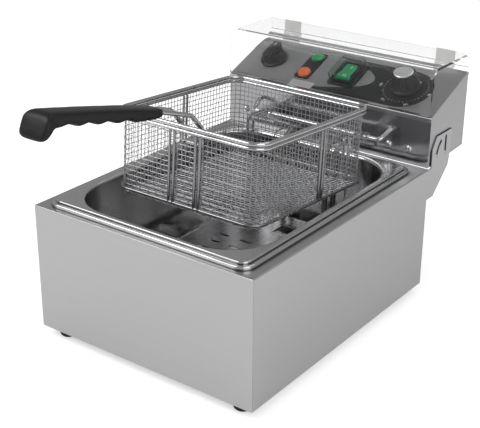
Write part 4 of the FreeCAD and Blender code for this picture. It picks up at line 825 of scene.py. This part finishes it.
@dataclass
class ThermostatKnob:
    """The fluted knob, its flange, its white pointer and its place on the panel."""

    x: float = 0.0865
    up: float = 0.045
    radius: float = 0.0156
    height: float = 0.0205
    flange: float = 0.0190
    flutes: int = 22
    flute_depth: float = 0.0009
    cap_radius: float = 0.0118
    pointer_angle: float = math.radians(-60)
    material: bpy.types.Material = field(default_factory=KNOB_PLASTIC.build)
    white: bpy.types.Material = field(default_factory=MARK_WHITE.build)

    def ring(self, radius: float, z: float, depth: float) -> list[Point]:
        """Gives one ring of the fluted side."""
        places = []
        count = self.flutes * 6
        for index in range(count):
            angle = 2 * math.pi * index / count
            wave = (1 - math.cos(angle * self.flutes)) / 2
            reach = radius - depth * wave**2
            places.append((reach * math.cos(angle), reach * math.sin(angle), z))
        return places

    def build(self) -> None:
        """Makes the knob and its pointer."""
        place = ON_PANEL @ Matrix.Translation((self.x, self.up, FILM_TOP + 0.0008))
        mesh = bmesh.new()
        rings = [
            self.ring(0.004, 0.0, 0),
            self.ring(self.flange - 0.0004, 0.0, 0),
            self.ring(self.flange, 0.0005, 0),
            self.ring(self.flange - 0.0003, 0.0014, 0),
            self.ring(self.radius + 0.0010, 0.0026, 0),
            self.ring(self.radius + 0.0006, 0.0034, self.flute_depth),
            self.ring(self.radius - 0.0008, self.height - 0.0016, self.flute_depth),
            self.ring(self.radius - 0.0014, self.height - 0.0004, self.flute_depth * 0.6),
            self.ring(self.radius - 0.0023, self.height + 0.0003, 0),
            self.ring(self.cap_radius + 0.0004, self.height + 0.0001, 0),
            self.ring(self.cap_radius + 0.0003, self.height - 0.0009, 0),
            self.ring(0.004, self.height - 0.0010, 0),
        ]
        loft(mesh, rings)
        in_place(mesh, place)
        knob = finished("fluted_knob", mesh, self.material, 40.0)
        show(knob, Body.THERMOSTAT, "knob_plastic", "thermostat_knob")
        mesh = raised_bar((0.0012, 0.0062, 0.0004), 0.0001)
        lean = Matrix.Rotation(self.pointer_angle, 4, "Z")
        in_place(mesh, place @ lean @ Matrix.Translation((0, self.flange - 0.0034, 0.0021)))
        show(finished("knob_pointer", mesh, self.white), Body.THERMOSTAT, "film_print")


@dataclass
class DialMarks:
    """The pale scale printed round the thermostat: ticks and numbers."""

    x: float = 0.088
    up: float = 0.043
    inner: float = 0.0262
    outer: float = 0.0288
    number_radius: float = 0.0322
    number_size: float = 0.0042
    numbers: tuple[int, ...] = (60, 90, 120, 150, 180, 200)
    first: float = -230.0
    last: float = 50.0
    thick: float = 0.00012
    material: bpy.types.Material = field(default_factory=MARK_WHITE.build)

    def angle(self, part: float) -> float:
        """Gives the angle of a place on the scale, from 0 to 1."""
        return math.radians(self.last + (self.first - self.last) * part)

    def build(self) -> None:
        """Makes the ticks and the numbers."""
        place = ON_PANEL @ Matrix.Translation((self.x, self.up, FILM_TOP))
        mesh = bmesh.new()
        count = 28
        for step in range(count + 1):
            long = self.outer if step % 4 == 0 else self.outer - 0.001
            made = bmesh.ops.create_cube(mesh, size=1.0)["verts"]
            bmesh.ops.scale(mesh, vec=(long - self.inner, 0.0003, self.thick), verts=made)
            bmesh.ops.translate(mesh, vec=((long + self.inner) / 2, 0, self.thick / 2), verts=made)
            bmesh.ops.rotate(mesh, matrix=Matrix.Rotation(self.angle(step / count), 3, "Z"), verts=made)
        in_place(mesh, place)
        show(finished("dial_ticks", mesh, self.material), Body.HEAD, "film_print")
        for index, number in enumerate(self.numbers):
            angle = self.angle(index / (len(self.numbers) - 1))
            spot = Vector((math.cos(angle), math.sin(angle), 0)) * self.number_radius
            turn = Matrix.Rotation(angle - math.pi / 2, 4, "Z")
            spot_frame = place @ Matrix.Translation(spot) @ turn
            lettering(f"dial_number_{number}", str(number), self.number_size, spot_frame, self.material)


def lettering(
    name: str, words: str, size: float, place: Matrix, material: bpy.types.Material
) -> bpy.types.Object:
    """Makes a thin raised word or number that rides on the head.

    Args:
        name: The piece's name.
        words: What it says.
        size: Its height.
        place: The frame whose XY plane it lies in.
        material: Its material.

    Returns:
        The piece.
    """
    text = bpy.data.curves.new(name + "_text", "FONT")
    text.body = words
    text.size = size
    text.align_x = "CENTER"
    text.align_y = "CENTER"
    text.extrude = 0.00006
    holder = bpy.data.objects.new(name + "_text", text)
    data = bpy.data.meshes.new_from_object(holder)
    bpy.data.objects.remove(holder)
    data.transform(place @ Matrix.Translation((0, 0, 0.00006)))
    piece = linked(name, data, material)
    show(piece, Body.HEAD, "film_print")
    return piece


@dataclass
class RockerMarks:
    """The line and the ring moulded into the rocker's two ends."""

    x: float = 0.008
    up: float = 0.044
    material: bpy.types.Material = field(default_factory=MARK_WHITE.build)

    def build(self) -> None:
        """Makes both marks."""
        place = ON_PANEL @ Matrix.Translation((self.x, self.up, FILM_TOP))
        mesh = bmesh.new()
        ring = bmesh.ops.create_circle(mesh, cap_ends=False, radius=0.0022, segments=28)["verts"]
        inner = bmesh.ops.create_circle(mesh, cap_ends=False, radius=0.0015, segments=28)["verts"]
        bmesh.ops.bridge_loops(mesh, edges=list({e for v in ring + inner for e in v.link_edges}))
        bmesh.ops.solidify(mesh, geom=mesh.faces[:], thickness=0.0003)
        slope = Matrix.Rotation(math.atan2(-0.0032, 0.014), 4, "X")
        in_place(mesh, place @ Matrix.Translation((0, -0.0085, 0.0063)) @ slope)
        show(finished("rocker_ring", mesh, self.material), Body.ROCKER, "film_print")
        mesh = bmesh.new()
        bmesh.ops.create_cube(mesh, size=1.0)
        bmesh.ops.scale(mesh, vec=(0.0008, 0.0044, 0.0004), verts=mesh.verts)
        in_place(mesh, place @ Matrix.Translation((0, 0.0095, 0.0041)))
        show(finished("rocker_line", mesh, self.material), Body.ROCKER, "film_print")


@dataclass
class TimerPointer:
    """The white line on the timer's bar grip."""

    x: float = -0.1025
    up: float = 0.044
    material: bpy.types.Material = field(default_factory=MARK_WHITE.build)

    def build(self) -> None:
        """Makes the line."""
        mesh = raised_bar((0.0009, 0.008, 0.0003), 0.00008)
        in_place(mesh, ON_PANEL @ Matrix.Translation((self.x, self.up + 0.0095, FILM_TOP + 0.0008 + 0.018)))
        show(finished("timer_pointer", mesh, self.material), Body.TIMER, "film_print")


# ---------------------------------------------------------------- carried-over CAD nodes


@dataclass
class Dressing:
    """The finish of every CAD node that is shown as it is."""

    finishes: dict[object, str] = field(
        default_factory=lambda: {
            CASING_STEEL: "casing_shell front_panel rear_panel base_plate"
            " hinge_bracket_left hinge_bracket_right",
            HEAD_STEEL: "head_panel head_side_left head_side_right head_back_cover",
            HINGE_PALE_PAINTED_GLOW: "cover_hinge_fixed cover_hinge_moving",
            PLATE_STEEL: "head_front_plate element_flange",
            TANK_STEEL: "tank",
            GUARD_STEEL: "element_guard guard_supports",
            WIRE_CHROME: "basket_rim basket_hooks basket_bar handle_wires",
            RIB_WIRE: "basket_frame",
            ELEMENT_ALLOY: "heating_element thermostat_bulb limiter_bulb",
            ZINC: "foot_screws bracket_rivets back_screws front_nuts pivot_pins guide_pins"
            " timer_shaft thermostat_shaft cover_hinge_pins",
            SPUN_CAP: "thermostat_cap",
            BARE_PLATE: "blank_label",
            FOOT_RUBBER: "foot_front_left foot_front_right foot_rear_left foot_rear_right",
            KNOB_PLASTIC: "timer_knob lamp_bezel switch_body cable_gland",
            INNER_PLASTIC: "timer_movement thermostat_body limiter_body safety_switch",
            TERMINAL_WHITE: "terminal_block",
            GREEN_LENS: "green_lens",
            AMBER_LENS: "amber_lens",
            GREEN_ROCKER: "switch_rocker",
            RESET_RED: "reset_button",
            FILM_PRINT: "panel_film",
            COVER_CLEAR: "splash_cover",
            BOOT_CLEAR: "switch_boot",
        }
    )

    def build(self) -> None:
        """Gives each node its material."""
        for finish, names in self.finishes.items():
            material = finish.build()
            for name in names.split():
                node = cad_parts[name]
                node.data.materials.clear()
                node.data.materials.append(material)
                for face in node.data.polygons:
                    face.material_index = 0
            log.info("%s: %s", material.name, names)


# ---------------------------------------------------------------- studio


@dataclass
class Studio:
    """Floor, lamps, world and camera."""

    camera_place: Point = (0.6867, -0.92794 + CASING_Y, 0.6452)
    azimuth: float = math.radians(36.45)
    elevation: float = math.radians(24.25)
    roll: float = math.radians(0.33)
    lens: float = 84.14
    floor_lift: float = 0.5
    mirrored_sky: float = 0.30
    diffuse_sky: float = 0.55

    def floor(self) -> None:
        """Lays the pale floor, which shows as white to the camera and keeps the shadow."""
        mesh = bmesh.new()
        bmesh.ops.create_grid(mesh, x_segments=1, y_segments=1, size=6.0)
        shader = Shader("floor")
        shader.plain(Base_Color=(0.80, 0.80, 0.80, 1.0), Roughness=0.9, Emission_Color=(1.0, 1.0, 1.0, 1.0))
        shader.plain(Specular_IOR_Level=0.0)
        path = shader.add("LightPath")
        direct = shader.maths("MAXIMUM", path.outputs["Is Camera Ray"], path.outputs["Is Transmission Ray"])
        lift = shader.maths("MULTIPLY", direct, self.floor_lift)
        shader.join(lift, shader.surface.inputs["Emission Strength"])
        floor = finished("studio_floor", mesh, shader.material)

    def lamp(self, name: str, place: Point, size: float, power: float) -> None:
        """Adds an area lamp that faces the object."""
        light = bpy.data.lights.new(name, "AREA")
        light.size = size
        light.energy = power
        lamp = bpy.data.objects.new(name, light)
        lamp.location = place
        aim = Vector((0, 0.05, 0.12)) - Vector(place)
        lamp.rotation_euler = aim.to_track_quat("-Z", "Y").to_euler()
        bpy.context.scene.collection.objects.link(lamp)

    def world(self) -> None:
        """Sets a world that is white to the camera and through clear sheet, and dimmer in metal."""
        world = bpy.data.worlds.new("studio")
        bpy.context.scene.world = world
        world.use_nodes = True
        tree = world.node_tree
        background = tree.nodes["Background"]
        path = tree.nodes.new("ShaderNodeLightPath")
        seen = tree.nodes.new("ShaderNodeMath")
        seen.operation = "MAXIMUM"
        direct = tree.nodes.new("ShaderNodeMapRange")
        direct.inputs["To Min"].default_value = self.diffuse_sky
        direct.inputs["To Max"].default_value = 1.0
        mirrored = tree.nodes.new("ShaderNodeMix")
        mirrored.inputs["B"].default_value = self.mirrored_sky
        link = tree.links.new
        link(path.outputs["Is Camera Ray"], seen.inputs[0])
        link(path.outputs["Is Transmission Ray"], seen.inputs[1])
        link(seen.outputs[0], direct.inputs["Value"])
        link(direct.outputs["Result"], mirrored.inputs["A"])
        link(path.outputs["Is Glossy Ray"], mirrored.inputs["Factor"])
        link(mirrored.outputs["Result"], background.inputs["Strength"])
        background.inputs["Color"].default_value = (1.0, 1.0, 1.0, 1.0)

    def camera(self) -> None:
        """Places the camera."""
        data = bpy.data.cameras.new("camera")
        data.lens = self.lens
        data.sensor_width = 36.0
        data.clip_end = 50.0
        camera = bpy.data.objects.new("camera", data)
        turn = Matrix.Rotation(self.azimuth, 4, "Z")
        turn = turn @ Matrix.Rotation(math.pi / 2 - self.elevation, 4, "X")
        turn = turn @ Matrix.Rotation(self.roll, 4, "Z")
        camera.matrix_world = Matrix.Translation(self.camera_place) @ turn
        bpy.context.scene.collection.objects.link(camera)
        bpy.context.scene.camera = camera

    def build(self) -> None:
        """Sets up the whole studio."""
        self.floor()
        self.world()
        self.lamp("key", (-1.3, -1.4, 1.9), 1.4, 26.0)
        self.lamp("fill", (1.7, -0.8, 1.3), 1.6, 14.0)
        self.lamp("top", (0.5, 0.9, 2.2), 1.2, 5.0)
        self.camera()
        view = bpy.context.scene.view_settings
        view.view_transform = "Standard"


def main() -> None:
    """Builds every piece in order."""
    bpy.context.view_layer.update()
    Dressing().build()
    WovenBasket().build()
    HandleGrip().build()
    ThermostatKnob().build()
    DialMarks().build()
    RockerMarks().build()
    TimerPointer().build()
    Studio().build()


if __name__ == "__main__":
    logging.basicConfig(level=logging.INFO)
    main()
